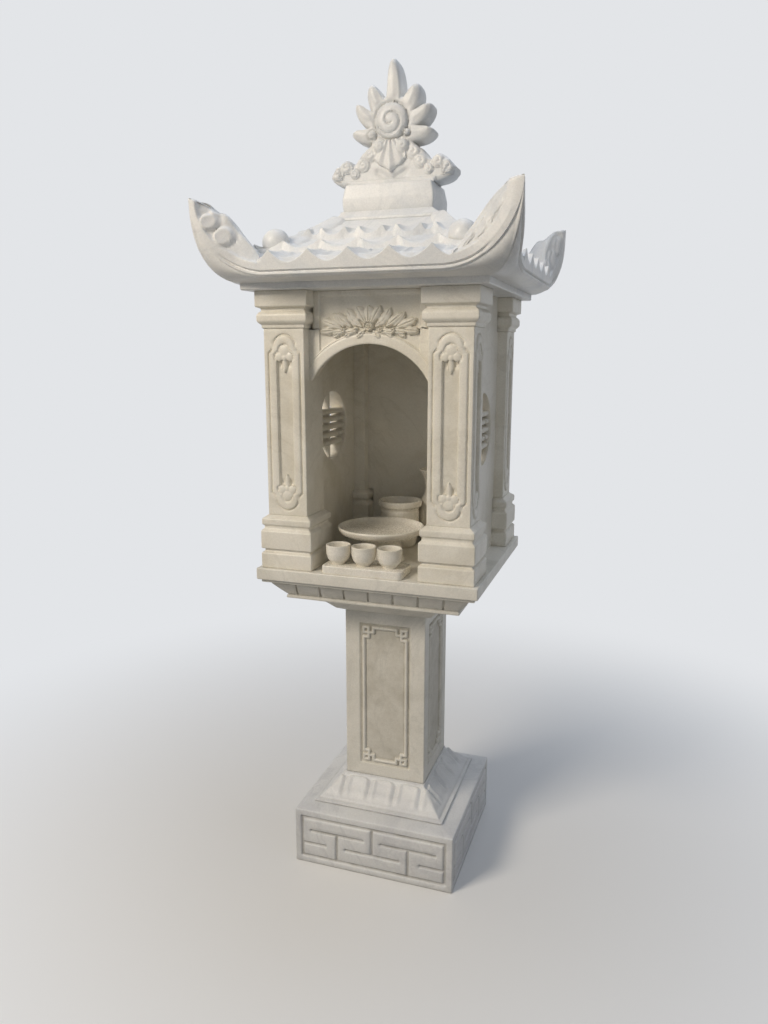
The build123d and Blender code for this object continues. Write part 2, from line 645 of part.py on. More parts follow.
def cup_tray():
    length, depth, height = TRAY_SIZE
    tray = Box(length, depth, height)
    tray = fillet(tray.edges().filter_by(Axis.Z), TRAY_CORNER)
    front = TRAY_EDGE_GAP - SLAB_SIDE / 2
    return Pos(TRAY_SHIFT, front + depth / 2, FLOOR_Z + height / 2) * tray


def cup(index):
    radius, height, wall = CUP_RADIUS, CUP_HEIGHT, CUP_WALL
    points = [
        (0, 0), (radius * 0.55, 0), (radius * 0.82, 8), (radius, 20), (radius, height),
        (radius - wall, height), (radius - wall, 21), (radius * 0.75, 11),
        (radius * 0.45, 5), (0, 5)]
    front = TRAY_EDGE_GAP - SLAB_SIDE / 2
    middle = (TRAY_SHIFT + CUP_SHIFT[0], front + TRAY_SIZE[1] / 2 + CUP_SHIFT[1])
    centre = (middle[0] + (index - 1) * CUP_PITCH, middle[1])
    return turned(points, centre, FLOOR_Z + TRAY_SIZE[2])


def offering_dish():
    radius, foot, stem = DISH_RADIUS, DISH_FOOT_RADIUS, DISH_STEM_HEIGHT
    height, wall = DISH_HEIGHT, DISH_WALL
    points = [
        (0, 0), (foot, 0), (foot, 6), (foot - 6, 12), (foot - 8, stem),
        (foot + 12, stem + 4), (radius - 7, stem + 10), (radius, height - 3),
        (radius - 2, height), (radius - wall, height - 3), (radius - wall - 6, stem + 12 + wall),
        (foot + 6, stem + 6 + wall), (0, stem + 4 + wall)]
    return turned(points, DISH_CENTRE, FLOOR_Z)


def incense_bowl():
    radius, height, wall = BOWL_RADIUS, BOWL_HEIGHT, BOWL_WALL
    points = [
        (0, 0), (radius * 0.68, 0), (radius * 0.75, 8), (radius * 0.86, 34),
        (radius * 0.88, height - 24), (radius * 0.85, height - 17), (radius, height - 13),
        (radius, height - 3), (radius - 2, height), (radius - wall, height),
        (radius * 0.84 - wall, height - 16), (radius * 0.86 - wall, height - 24),
        (radius * 0.85 - wall, height * 0.42), (0, height * 0.42)]
    return turned(points, BOWL_CENTRE, FLOOR_Z)


def vase():
    belly, neck, rim = VASE_BELLY_RADIUS, VASE_NECK_RADIUS, VASE_RIM_RADIUS
    height, wall = VASE_HEIGHT, VASE_WALL
    points = [
        (0, 0), (belly * 0.7, 0), (belly * 0.66, height * 0.045), (belly * 0.95, height * 0.25),
        (belly, height * 0.37), (belly * 0.9, height * 0.5), (neck + 4, height * 0.65),
        (neck, height * 0.75), (neck + 3, height * 0.88), (rim, height), (rim - wall, height),
        (neck + 3 - wall, height * 0.885), (neck - wall, height * 0.75),
        (neck + 3 - wall, height * 0.65), (belly * 0.9 - wall, height * 0.49),
        (belly - wall, height * 0.37), (belly * 0.95 - wall, height * 0.26),
        (belly * 0.66 - wall, height * 0.07), (0, height * 0.06)]
    return turned(points, VASE_CENTRE, FLOOR_Z)


def corners():
    """Name and direction of the four corners, each a quarter turn from the one before."""
    yield "front_left", -1, -1
    yield "front_right", 1, -1
    yield "back_right", 1, 1
    yield "back_left", -1, 1


def pieces():
    """Every node's name with its solid, in place."""
    yield "base_block", base_block()
    yield "lotus_foot", lotus_foot()
    yield "pedestal_shaft", pedestal_shaft()
    yield "table_corbel", table_corbel()
    yield "table_slab", table_slab()
    column = column_base(), column_shaft(), column_capital()
    for turn, (name, x, y) in enumerate(corners()):
        place = Pos(x * COLUMN_CENTRE, y * COLUMN_CENTRE, 0) * Rot(0, 0, 90 * turn)
        for course, solid in zip(("base", "shaft", "capital"), column):
            yield f"column_{course}_{name}", place * solid
    yield "wall_left", Rot(0, 0, -90) * Pos(0, -WALL_FACE, 0) * side_wall()
    yield "wall_right", Rot(0, 0, 90) * Pos(0, -WALL_FACE, 0) * side_wall()
    yield "wall_back", back_wall()
    yield "arch_lintel", arch_lintel()
    roof = roof_body()
    balls = {name: Pos(x * BALL_PLACE, y * BALL_PLACE, 0) * hip_ball() for name, x, y in corners()}
    yield "roof_body", roof
    for name, ball in balls.items():
        yield "hip_ball_" + name, ball - roof
    yield "roof_cap", roof_cap()
    yield "ridge_block", ridge_block()
    yield "finial", finial()
    yield "cup_tray", cup_tray()
    for index, side in enumerate(("left", "middle", "right")):
        yield "cup_" + side, cup(index)
    yield "offering_dish", offering_dish()
    yield "incense_bowl", incense_bowl()
    yield "vase", vase()


os.makedirs("parts", exist_ok=True)
for node, shape in pieces():
    export_step(shape, f"parts/{node}.step")
    box = shape.bounding_box()
    print(f"{node:32s} {len(shape.solids())} solid  z {box.min.Z:.1f} to {box.max.Z:.1f}")
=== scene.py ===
# %% [markdown]
# # Looks of a one-column marble wayside shrine
# The construction of the shrine is loaded as a fixed frame, and this lesson builds the
# carved marble skin around it: a plinth with a key fret, a panelled shaft, an altar slab,
# a niche of four columns, and an upturned roof under a flaming disc. Everything is one
# stone, white marble, so the shapes carry the likeness and the stone's finish ties them
# together. We work in millimetres while shaping and turn them to metres when a mesh is made.

import math

import bmesh
import bpy
import numpy as np
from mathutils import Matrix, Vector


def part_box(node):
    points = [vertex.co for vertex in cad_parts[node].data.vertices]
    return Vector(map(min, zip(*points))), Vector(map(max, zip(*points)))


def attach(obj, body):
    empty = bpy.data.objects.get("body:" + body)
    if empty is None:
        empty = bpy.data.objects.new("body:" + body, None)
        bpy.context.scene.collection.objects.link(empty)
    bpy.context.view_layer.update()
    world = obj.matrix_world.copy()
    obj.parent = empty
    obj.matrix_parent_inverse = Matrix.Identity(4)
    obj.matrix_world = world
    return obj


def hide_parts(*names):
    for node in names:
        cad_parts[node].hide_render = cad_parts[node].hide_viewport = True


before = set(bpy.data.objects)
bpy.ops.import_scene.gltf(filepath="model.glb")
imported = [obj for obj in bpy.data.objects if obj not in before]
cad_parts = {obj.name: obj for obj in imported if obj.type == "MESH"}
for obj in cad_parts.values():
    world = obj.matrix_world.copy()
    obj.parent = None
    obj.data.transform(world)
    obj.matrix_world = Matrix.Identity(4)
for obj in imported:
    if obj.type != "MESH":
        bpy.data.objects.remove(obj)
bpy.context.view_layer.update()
MM = 0.001                    # one millimetre in scene units


def box_mm(name):
    """Lowest and highest corner of a part of the frame, in millimetres."""
    low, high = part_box(name)
    return np.array(low) / MM, np.array(high) / MM


print("parts in the frame:", len(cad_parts))

# %% [markdown]
# ## Camera
# The photographer stood a little to the right of the shrine and looked slightly down at it.
# The place and the two angles below were worked out from edges that are upright or level on
# the real shrine, so that its corners fall where they do in the picture.

# %% Camera at the photograph's viewing angle
CAMERA_PLACE = (0.536, -1.672, 1.165)
CAMERA_YAW = 18.82            # degrees, towards the shrine's left
CAMERA_PITCH = -11.43
FOCAL_PIXELS = 780.3
PICTURE_HEIGHT = 1024
SENSOR = 36.0

lens = bpy.data.cameras.new("view_from_front_right")
lens.sensor_width = SENSOR
lens.lens = FOCAL_PIXELS * SENSOR / PICTURE_HEIGHT
camera = bpy.data.objects.new("view_from_front_right", lens)
camera.location = CAMERA_PLACE
camera.rotation_euler = (math.radians(90 + CAMERA_PITCH), 0, math.radians(CAMERA_YAW))
bpy.context.scene.collection.objects.link(camera)
bpy.context.scene.camera = camera
bpy.context.scene.view_settings.view_transform = "Standard"
print(f"lens {lens.lens:.2f} mm, camera {CAMERA_PLACE[2]:.2f} m above the ground")

# %% [markdown]
# ## From arrays to meshes
# A carved face is a sheet: a grid of points worked out at once by numpy. A sheet that runs
# round the stone closes on itself, and one that ends in a point closes there, so that every
# piece is a closed skin. One function turns sheets into a piece, merges what coincides, and
# checks by the enclosed volume that the faces look outwards. It also keeps for each point how
# deep it lies below the plain face, because dust gathers there and shade falls there, and the
# finish paints both as a darker colour.

# %% Sheets to pieces
SMOOTH_ANGLE = 42.0           # edges that turn by more degrees stay crisp
JOIN_WITHIN = 1e-6            # metres within which two points are one
made = {}


def sheet_volume(points, quads):
    """Sum of the signed volumes between the origin and each face: positive if it looks outwards."""
    a, b, c, d = (points[quads[:, k]] for k in range(4))
    halves = np.cross(b, c) + np.cross(c, d)
    return np.einsum("ij,ij->", a, halves) / 6


def sheet_quads(rows, columns, wrap):
    """Corner numbers of every face of a grid; wrap joins its last column to its first."""
    row = np.arange(rows - 1)[:, None]
    column = np.arange(columns if wrap else columns - 1)[None, :]
    after = (column + 1) % columns
    corners = (row * columns + column, row * columns + after,
               (row + 1) * columns + after, (row + 1) * columns + column)
    return np.stack(corners, -1).reshape(-1, 4)


def make_piece(name, sheets, finish, *nodes):
    """One object from sheets of (points in mm, hollow in mm or None, wrap), in one finish."""
    stone, slot = finish
    points, hollows, quads, start = [], [], [], 0
    for grid, hollow, wrap in sheets:
        flat = grid.reshape(-1, 3)
        faces = sheet_quads(*grid.shape[:2], wrap)
        if sheet_volume(flat - flat.mean(0), faces) < 0:
            faces = faces[:, ::-1]
        points.append(flat)
        hollows.append(np.zeros(len(flat)) if hollow is None else hollow.ravel())
        quads.append(faces + start)
        start += len(flat)
    points, quads = np.concatenate(points) * MM, np.concatenate(quads)
    mesh = bpy.data.meshes.new(name)
    mesh.vertices.add(len(points))
    mesh.vertices.foreach_set("co", points.ravel())
    mesh.loops.add(quads.size)
    mesh.loops.foreach_set("vertex_index", quads.ravel())
    mesh.polygons.add(len(quads))
    mesh.polygons.foreach_set("loop_start", np.arange(0, quads.size, 4))
    layer = mesh.attributes.new("hollow", "FLOAT", "POINT")
    layer.data.foreach_set("value", np.concatenate(hollows))
    mesh.update(calc_edges=True)
    shell = bmesh.new()
    shell.from_mesh(mesh)
    bmesh.ops.remove_doubles(shell, verts=shell.verts, dist=JOIN_WITHIN)
    shell.to_mesh(mesh)
    shell.free()
    mesh.shade_smooth()
    mesh.set_sharp_from_angle(angle=math.radians(SMOOTH_ANGLE))
    mesh.materials.append(stone)
    piece = bpy.data.objects.new(name, mesh)
    bpy.context.scene.collection.objects.link(piece)
    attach(piece, "root")
    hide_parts(*nodes)
    made[name] = sum(len(face.vertices) - 2 for face in mesh.polygons)
    print(f"{name}: {made[name]} triangles")


# %% [markdown]
# ## Grid lines where they are needed
# Flat stone needs few grid lines and a carved edge needs many. The next helpers place grid
# lines close together near a feature, round the corners of a moulding's outline, and measure
# distances to lines and boxes. A carving is then a height worked out from such a distance:
# near an edge it falls smoothly, as a chisel and wear leave it.

# %% Helpers for outlines and carving
def stations(low, high, coarse, features=(), reach=6.0, fine=1.5):
    """Grid lines from low to high, evenly coarse, and fine within reach of each feature."""
    even = np.linspace(low, high, max(2, int(math.ceil((high - low) / coarse)) + 1))
    near = [f + np.arange(-reach, reach + fine / 2, fine) for f in features]
    lines = np.concatenate([even, *near])
    lines = np.unique(np.round((lines - low) / fine * 2) * fine / 2 + low)
    lines = lines[(lines > low + fine / 3) & (lines < high - fine / 3)]
    return np.concatenate([[low], lines, [high]])


def softened(points, radius, steps=3):
    """Outline with each inner corner replaced by a short curve that leaves and joins both runs."""
    points = np.asarray(points, float)
    share = np.linspace(0, 1, steps + 1)[:, None]
    parts = [points[:1]]
    for before, corner, after in zip(points, points[1:], points[2:]):
        back, ahead = before - corner, after - corner
        reach_back, reach_ahead = np.linalg.norm(back), np.linalg.norm(ahead)
        cut = min(radius, 0.45 * reach_back, 0.45 * reach_ahead)
        start = corner + back / reach_back * cut
        end = corner + ahead / reach_ahead * cut
        parts.append((1 - share) ** 2 * start + 2 * share * (1 - share) * corner + share ** 2 * end)
    return np.concatenate(parts + [points[-1:]])


def length_to(path):
    """Length of a path from its start to each of its points."""
    return np.concatenate([[0], np.cumsum(np.linalg.norm(np.diff(path, axis=0), axis=1))])


def divided(outline, longest, near=(), reach=6.0, fine=1.5):
    """Outline with extra points, no further apart than longest, and fine near some heights."""
    length = length_to(outline)
    wanted = [length]
    for start, end in zip(length, length[1:]):
        wanted.append(np.linspace(start, end, int((end - start) // longest) + 2))
    dense = np.linspace(0, length[-1], int(length[-1] / fine) + 2)
    dense_height = np.interp(dense, length, outline[:, 1])
    close = np.zeros(len(dense), bool)
    for height in near:
        close |= np.abs(dense_height - height) < reach
    wanted.append(dense[close])
    places = np.unique(np.round(np.concatenate(wanted), 2))
    places = places[np.concatenate([[True], np.diff(places) > 0.2])]
    return np.stack([np.interp(places, length, outline[:, k]) for k in (0, 1)], -1)


def block_outline(half, low, high):
    """Outline of a plain block from the middle of its bed to the middle of its top."""
    return [(0, low), (half, low), (half, high), (0, high)]


def ease(value):
    """Smooth step: 0 below 0, 1 above 1, with level ends."""
    value = np.clip(value, 0, 1)
    return value * value * (3 - 2 * value)


def bell(value, width):
    """Soft bump or groove: 1 at nought, and almost nothing two widths away."""
    return np.exp(-(value / width) ** 2)


def dome(share, power=0.5):
    """Rounded top: 1 less the square of a share, to a power, and 0 from a share of 1 onwards."""
    return np.clip(1 - share ** 2, 0, 1) ** power


def spiral_groove(turns, width):
    """Groove that winds in: a bell about the middle of each whole turn."""
    return bell(turns % 1.0 - 0.5, width)


def as_points(x, y, z):
    """Points of a grid; a single number holds for all of them."""
    return np.stack(np.broadcast_arrays(x, y, z), -1)


def to_segment(x, z, start, end):
    """Distance of each point from a straight line between two points."""
    run = np.array(end, float) - np.array(start, float)
    share = np.clip(((x - start[0]) * run[0] + (z - start[1]) * run[1]) / (run @ run), 0, 1)
    return np.hypot(x - start[0] - share * run[0], z - start[1] - share * run[1])


def to_box(x, z, half_x, half_z, corner=0.0):
    """Signed distance from a rectangle about the origin with rounded corners, negative inside."""
    out_x = np.abs(x) - half_x + corner
    out_z = np.abs(z) - half_z + corner
    outside = np.hypot(np.maximum(out_x, 0), np.maximum(out_z, 0))
    return outside + np.minimum(np.maximum(out_x, out_z), 0) - corner


def sheet_normals(grid):
    """Unit normals of a sheet whose columns close, from the directions of its rows and columns."""
    across = np.roll(grid, -1, 1) - np.roll(grid, 1, 1)
    normal = np.cross(across, np.gradient(grid, axis=0))
    return normal / np.maximum(np.linalg.norm(normal, axis=-1, keepdims=True), 1e-9)


print("helpers ready; an eased half is", float(ease(0.5)))

# %% [markdown]
# ## Profiles carried round a square
# Nearly every course of the shrine is a moulding carried round a square, as a mason runs a
# template round a block. The path is four straight sides joined by small round arrises, since
# no stone edge is truly sharp. A carving function may push each side in or out.

# %% Square courses
ARC_STEPS = 3                 # grid lines over one half of an arris


def side_columns(lines):
    """Share along a side and outward turn at each column, with half a corner's arc at each end."""
    turn = np.linspace(-math.pi / 4, 0, ARC_STEPS + 1)[:-1]
    share = np.concatenate([np.full(ARC_STEPS, -1.0), lines, np.full(ARC_STEPS, 1.0)])
    angle = np.concatenate([turn, np.zeros(len(lines)), -turn[::-1]])
    return share[:-1], angle[:-1]


def quarter_turned(x, y, k):
    """A point of the front side turned k quarter turns about the upright axis."""
    return [(x, y), (-y, x), (-x, -y), (y, -x)][k]


def carried_round(outline, arris, lines, carve=None, stretch=(1.0, 1.0), centre=(0, 0)):
    """Closed sheet: the outline of (half width, height) carried round a square with soft arrises.

    Along a side the place is share times (half width less arris), and out from it the half
    width; in a corner both follow a circle of the arris radius. carve(k, along, height) gives
    how far side k is pushed out along its normal.
    """
    outline = np.asarray(outline, float)
    per_side = lines if isinstance(lines, list) else [np.asarray(lines, float)] * 4
    strips, pushes = [], []
    for k in range(4):
        share, angle = side_columns(per_side[k])
        across = outline[:, :1] * stretch[k % 2]
        out = outline[:, :1] * stretch[(k + 1) % 2]
        radius = np.minimum(arris, np.minimum(across, out))
        along = share * (across - radius) + radius * np.sin(angle)
        away = (out - radius) + radius * np.cos(angle)
        height = np.broadcast_to(outline[:, 1:], along.shape)
        x, y = quarter_turned(along, -away, k)
        strips.append(as_points(x + centre[0], y + centre[1], height))
        if carve:
            pushes.append(carve(k, along, height))
    grid = np.concatenate(strips, 1)
    if not carve:
        return grid, None, True
    push = np.concatenate(pushes, 1)
    normal = sheet_normals(grid)
    outwards = np.sign(np.median(normal[..., 0] * (grid[..., 0] - centre[0]))) or 1
    return grid + normal * push[..., None] * outwards, push, True


def turned_about(outline, centre, columns, wobble=None):
    """Closed sheet: the outline of (radius, height) turned about an upright axis."""
    outline = np.asarray(outline, float)
    angle = np.arange(columns) * 2 * math.pi / columns
    radius, height = outline[:, :1], outline[:, 1:]
    if wobble:
        radius = radius + wobble(angle, radius, height)
    grid = as_points(centre[0] + radius * np.cos(angle), centre[1] + radius * np.sin(angle), height)
    return grid, None, True


def closed_ends(ring):
    """A grid whose columns are closed loops gets a point at both ends, so that it is a closed skin."""
    ends = [np.broadcast_to(end.mean(0), end.shape) for end in (ring[:, :1], ring[:, -1:])]
    return np.concatenate([ends[0], ring, ends[1]], 1)


print("a square course closes with", 4 * len(side_columns(np.array([-1.0, 1.0]))[0]), "columns")

# %% [markdown]
# ## White marble, sawn, carved and rubbed
# The shrine is cut from a white crystalline marble. It is not plain white: soft grey clouds
# run through it, a few thin veins cross it, and its grains glitter because each crystal lies
# another way. Rain leaves dust in the hollows, and there the finish also paints the shade
# that falls in hollows and corners. All of that is worked out in object space, so
# the pattern runs through the block as it does in stone, and its scale comes from real
# lengths: clouds of about 120 mm, veins some 250 mm apart and grains of 2 mm, which is as
# fine as this picture can show.

# %% Colours, shader nodes and the recipe of the marble
CLOUD_SIZE = 120 * MM
VEIN_SPACING = 250 * MM
GRAIN_SIZE = 2.2 * MM
RUB_SIZE = 9 * MM             # of the unevenness that rubbing by hand leaves
PATCH_SIZE = 35 * MM          # of the patches that dust and painted shade lie in
CORNER_REACH = 22 * MM        # how far from a neighbouring face dust gathers and painted shade reaches
DUST_ROUGHNESS = 0.85


def linear(code):
    """Linear colour of an sRGB hex value such as F4F2EE."""
    share = np.array([int(code[k:k + 2], 16) for k in (0, 2, 4)]) / 255
    value = np.where(share <= 0.04045, share / 12.92, ((share + 0.055) / 1.055) ** 2.4)
    return (*[float(part) for part in value], 1.0)


def add_node(owner, kind, settings=None, inputs=None):
    """Adds a node to a material or world; an input is a plain value, or an output to link."""
    tree = owner.node_tree
    node = tree.nodes.new(kind)
    for key, value in (settings or {}).items():
        setattr(node, key, value)
    for key, value in (inputs or {}).items():
        if isinstance(value, bpy.types.NodeSocket):
            tree.links.new(value, node.inputs[key])
        else:
            node.inputs[key].default_value = value
    return node


def noise(owner, place, size, detail, roughness, distortion=0.0):
    """Noise with features of about a given size in metres."""
    return add_node(owner, "ShaderNodeTexNoise", inputs={
        "Vector": place, "Scale": 1 / size, "Detail": detail, "Roughness": roughness,
        "Distortion": distortion}).outputs["Fac"]


def spread(owner, value, start, end, low=0.0, high=1.0, kind="SMOOTHSTEP"):
    """A value's range from start to end, turned into low to high."""
    return add_node(owner, "ShaderNodeMapRange", {"interpolation_type": kind}, {
        "Value": value, "From Min": start, "From Max": end, "To Min": low, "To Max": high,
        }).outputs["Result"]


def worked_out(owner, operation, first, second):
    """Result of a sum on two values."""
    return add_node(owner, "ShaderNodeMath", {"operation": operation}, {0: first, 1: second}).outputs[0]


def mixed(owner, share, first, second, blend="MIX"):
    """Colour a share of the way from the first to the second, or the two multiplied."""
    return add_node(owner, "ShaderNodeMix", {"data_type": "RGBA", "blend_type": blend}, {
        0: share, 6: first, 7: second}).outputs[2]


def marble(name, slot, colours, roughness, dust_and_shade_in_hollows, dust_and_shade_in_corners):
    """Finish (material, slot) of carved marble; its colours are stone, clouds, veins, and a darker one for
    dusty hollows and painted shade.
    """
    light, cloud, vein, dirt_and_shade = (linear(code) for code in colours)
    stone = bpy.data.materials.new(name)
    stone.use_nodes = True
    links = stone.node_tree.links
    shader = stone.node_tree.nodes["Principled BSDF"]
    place = add_node(stone, "ShaderNodeTexCoord").outputs["Object"]

    clouds = spread(stone, noise(stone, place, CLOUD_SIZE, 6.0, 0.58, 0.6), 0.42, 0.68)
    body = mixed(stone, clouds, light, cloud)
    wander = noise(stone, place, 2 * VEIN_SPACING, 5.0, 0.62, 2.2)
    off_vein = worked_out(stone, "ABSOLUTE", worked_out(stone, "SUBTRACT", wander, 0.5), 0.0)
    body = mixed(stone, spread(stone, off_vein, 0.0, 0.03, 0.22, 0.0), body, vein)
    grains = add_node(stone, "ShaderNodeTexVoronoi", inputs={"Vector": place, "Scale": 1 / GRAIN_SIZE})
    chance = add_node(stone, "ShaderNodeSeparateColor", inputs={0: grains.outputs["Color"]})
    tone = spread(stone, chance.outputs[0], 0.0, 1.0, 0.955, 1.03, "LINEAR")
    body = mixed(stone, 1.0, body, tone, "MULTIPLY")

    # Carving depth darkens hollows towards the dark colour: partly dust, partly painted shade in the
    # recesses.
    depth = add_node(stone, "ShaderNodeAttribute", {"attribute_name": "hollow"}).outputs["Fac"]
    sunk = spread(stone, depth, -4.5, -0.6, dust_and_shade_in_hollows, 0.0)
    # Ambient occlusion darkens corners the same way: painted shade, with some dust.
    corner = add_node(stone, "ShaderNodeAmbientOcclusion", {"samples": 6}, {"Distance": CORNER_REACH})
    shade = spread(stone, corner.outputs["AO"], 0.10, 0.75, dust_and_shade_in_corners, 0.0)
    patches = spread(stone, noise(stone, place, PATCH_SIZE, 5.0, 0.7), 0.3, 0.65, 0.35, 1.0, "LINEAR")
    dust_and_shade = worked_out(stone, "MULTIPLY", worked_out(stone, "MAXIMUM", sunk, shade), patches)
    links.new(mixed(stone, dust_and_shade, body, dirt_and_shade), shader.inputs["Base Color"])

    gloss = spread(stone, chance.outputs[1], 0.0, 1.0, roughness - 0.10, roughness + 0.08, "LINEAR")
    dull = add_node(stone, "ShaderNodeMix", {"data_type": "FLOAT"}, {0: dust_and_shade, 2: gloss, 3: DUST_ROUGHNESS})
    links.new(dull.outputs[0], shader.inputs["Roughness"])
    rubbed = add_node(stone, "ShaderNodeBump", inputs={
        "Strength": 0.28, "Distance": 0.5 * MM, "Height": noise(stone, place, RUB_SIZE, 4.0, 0.6)})
    grainy = add_node(stone, "ShaderNodeBump", inputs={
        "Strength": 0.16, "Distance": 0.3 * MM, "Height": grains.outputs["Distance"],
        "Normal": rubbed.outputs["Normal"]})
    links.new(grainy.outputs["Normal"], shader.inputs["Normal"])
    for socket, value in (("IOR", 1.52), ("Subsurface Weight", 0.08),
                          ("Subsurface Radius", (1.0, 0.85, 0.7)), ("Subsurface Scale", 4 * MM)):
        shader.inputs[socket].default_value = value
    return stone, slot


print("the ivory F1EDE2 in linear light:", np.round(linear("F1EDE2")[:3], 2))

# %% The finishes of the five kinds of stonework
# The plinth's stone is greyer and cooler, a painted tint of skylit shade, and its hollows are darkest, dust
# with painted shade.
plinth_finish = marble("shade_tinted_plinth_marble", "marble_plinth",
                       ("E9EAEA", "DBDCDE", "C0C2C5", "857E6E"), 0.50, 0.58, 0.52)
# The shaft and slab were rubbed smooth; their stone is slightly grey with warm clouds.
pedestal_finish = marble("rubbed_pedestal_marble", "marble_pedestal",
                         ("EBE8DF", "DEDBD1", "C4C2BA", "958B74"), 0.46, 0.40, 0.44)
# The niche is the warmest stone, an ivory white.
niche_finish = marble("ivory_niche_marble", "marble_niche",
                      ("F1EDE2", "E6E1D3", "CFCABC", "A0957A"), 0.44, 0.22, 0.32)
# The roof's stone is a cool white, a painted tint of the blue skylight on its top.
roof_finish = marble("sky_tinted_roof_marble", "marble_roof",
                     ("EFEFED", "E2E4E5", "CBCED0", "958E7C"), 0.42, 0.34, 0.42)
# Cups, tray, dish, bowl and vase are lathe-turned and polished.
ware_finish = marble("polished_ware_marble", "marble_polished",
                     ("F2EEE4", "E6E1D4", "D2CCBD", "B5AA94"), 0.26, 0.20, 0.22)
print("finishes:", [m.name for m in bpy.data.materials if m.name.endswith("marble")])

# %% [markdown]
# ## Plinth with a key fret
# The lowest stone is a square block whose four sides carry a key fret: shallow grooves in the
# form of a T, upright and upside down by turns, so that the bands between them wind in and
# out. Boxes and cuts would leave sharp film-set edges, so the grooves are a smooth function
# of the distance from their centre lines, with grid lines set close along each of them.

# %% Plinth and lotus foot
base_low, base_high = box_mm("base_block")
lotus_low, lotus_high = box_mm("lotus_foot")
BASE_HALF = base_high[0]
BASE_SHOULDER = 133.0         # height of the block's upright faces
FRET_MARGIN = 18.0            # from the block's edges to the frame of the fret
FRET_GROOVE = 3.4             # half width of a groove
FRET_DEPTH = 4.2
FRET_ARM = 0.37               # half length of a T's arms, as a share of the fret's half width
FRET_SPUR = 0.33              # length of the end spurs, the same way
ARRIS = 3.0                   # radius that wear gives a block's edges

fret_half = BASE_HALF - FRET_MARGIN
fret_middle = BASE_SHOULDER / 2
fret_rise = BASE_SHOULDER / 2 - FRET_MARGIN
fret_level = fret_rise / 3
fret_arm = FRET_ARM * fret_half
fret_stems = (-fret_half / 2, 0.0, fret_half / 2)


def fret_lines():
    """Ends of every groove: the T shapes, and the short spurs that grow from the frame."""
    for number, stem in enumerate(fret_stems):
        up = -1 if number % 2 else 1
        level = up * fret_level
        yield (stem - fret_arm, level), (stem + fret_arm, level)
        yield (stem, level), (stem, -up * fret_rise)
    for side in (-1, 1):
        yield (side * fret_half, -fret_level), (side * (1 - FRET_SPUR) * fret_half, -fret_level)


def fret_carving(k, along, height):
    """Groove depth from the distance to the nearest groove line or to the frame's outline."""
    z = height - fret_middle
    frame_off = to_box(along, z, fret_half, fret_rise)
    nearest = np.minimum.reduce([np.abs(frame_off)] + [
        to_segment(along, z, start, end) for start, end in fret_lines()])
    groove = ease((FRET_GROOVE + 2.0 - nearest) / 4.0)
    pillow = 0.9 * ease(nearest / 9.0) * (frame_off < 0)
    on_face = (height > ARRIS) & (height < BASE_SHOULDER - ARRIS)
    return (pillow - FRET_DEPTH * groove) * on_face


spur_end = (1 - FRET_SPUR) * fret_half
fret_columns = stations(-BASE_HALF + ARRIS, BASE_HALF - ARRIS, 12, [
    -fret_half, fret_half, *fret_stems, -spur_end, spur_end,
    *[stem + side * fret_arm for stem in fret_stems for side in (-1, 1)]]) / (BASE_HALF - ARRIS)
base_outline = divided(softened([
    (0, 0), (BASE_HALF, 0), (BASE_HALF, BASE_SHOULDER), (lotus_high[0], lotus_low[2]),
    (0, lotus_low[2])], ARRIS), 12.0,
    near=[fret_middle + step for step in (-fret_rise, -fret_level, fret_level, fret_rise)])
make_piece("fret_plinth", [carried_round(base_outline, ARRIS, fret_columns, fret_carving)],
           plinth_finish, "base_block")

# %% [markdown]
# The lotus foot is a concave slope between plinth and shaft. Five broad petals lie on each
# side, parted by upright valleys, with a plain border below them. The petals are again a
# height: a low rim up both sides of each petal, and a rounded head near the slope's top.

# %% Lotus foot
PETALS = 5
PETAL_RELIEF = 5.5
lotus_half, neck_half = lotus_high[0], box_mm("pedestal_shaft")[1][0]
lotus_bottom, lotus_top = lotus_low[2], lotus_high[2]
lotus_rise = lotus_top - lotus_bottom


def lotus_carving(k, along, height):
    """Petals with rounded heads and upright valleys, all in shares of a petal and of the slope."""
    up = (height - lotus_bottom) / lotus_rise
    number = along / (2 * lotus_half) * PETALS
    across = np.abs(2 * (number - np.round(number)))
    body = ease((0.90 - 0.16 * across ** 4 - up) / 0.05)
    valley = ease((1 - across) / 0.20)
    rim = 0.62 + 0.38 * bell(across - 0.66, 0.16)
    fade = ease((up - 0.20) / 0.22)
    border = -1.8 * bell(up - 0.15, 0.03)
    return PETAL_RELIEF * body * valley * rim * fade + border - 0.3


# The slope is a curve drawn from its foot towards a point by the neck and on to its head.
slope = np.linspace(0, 1, 40)
bow = 2 * slope * (1 - slope)
lotus_slope = np.stack([
    (1 - slope) ** 2 * lotus_half + bow * (neck_half + 22) + slope ** 2 * (neck_half + 3),
    lotus_bottom + 5 + (lotus_rise - 9) * (bow * 0.36 + slope ** 2)], -1)
lotus_outline = np.concatenate([
    [(0, lotus_bottom), (lotus_half - 2, lotus_bottom), (lotus_half, lotus_bottom + 2)],
    lotus_slope, [(neck_half + 2.5, lotus_top), (0, lotus_top)]])
make_piece("lotus_slope", [carried_round(lotus_outline, ARRIS, np.linspace(-1, 1, 101), lotus_carving)],
           plinth_finish, "lotus_foot")

# %% [markdown]
# ## Shaft, corbel and altar slab
# Each face of the shaft has a sunk panel. Inside it a raised fillet runs round a grey field
# and winds into a small square knot at each corner. Under the slab a slope leans out, with
# eight blocks along each side that stand a little off it. The slab is a plain square with
# rubbed edges.

# %% Pedestal shaft
shaft_low, shaft_high = box_mm("pedestal_shaft")
SHAFT_HALF = shaft_high[0]
PANEL_HALF_X, PANEL_HALF_Z = 60.0, 172.0
FILLET_INSET = 9.5            # from the panel's edge to the fillet's centre line
FILLET_HALF = 3.4
KNOT = 11.5                   # pitch of a corner knot's squares
PANEL_DEPTH = 4.0
shaft_middle = (shaft_low[2] + shaft_high[2]) / 2


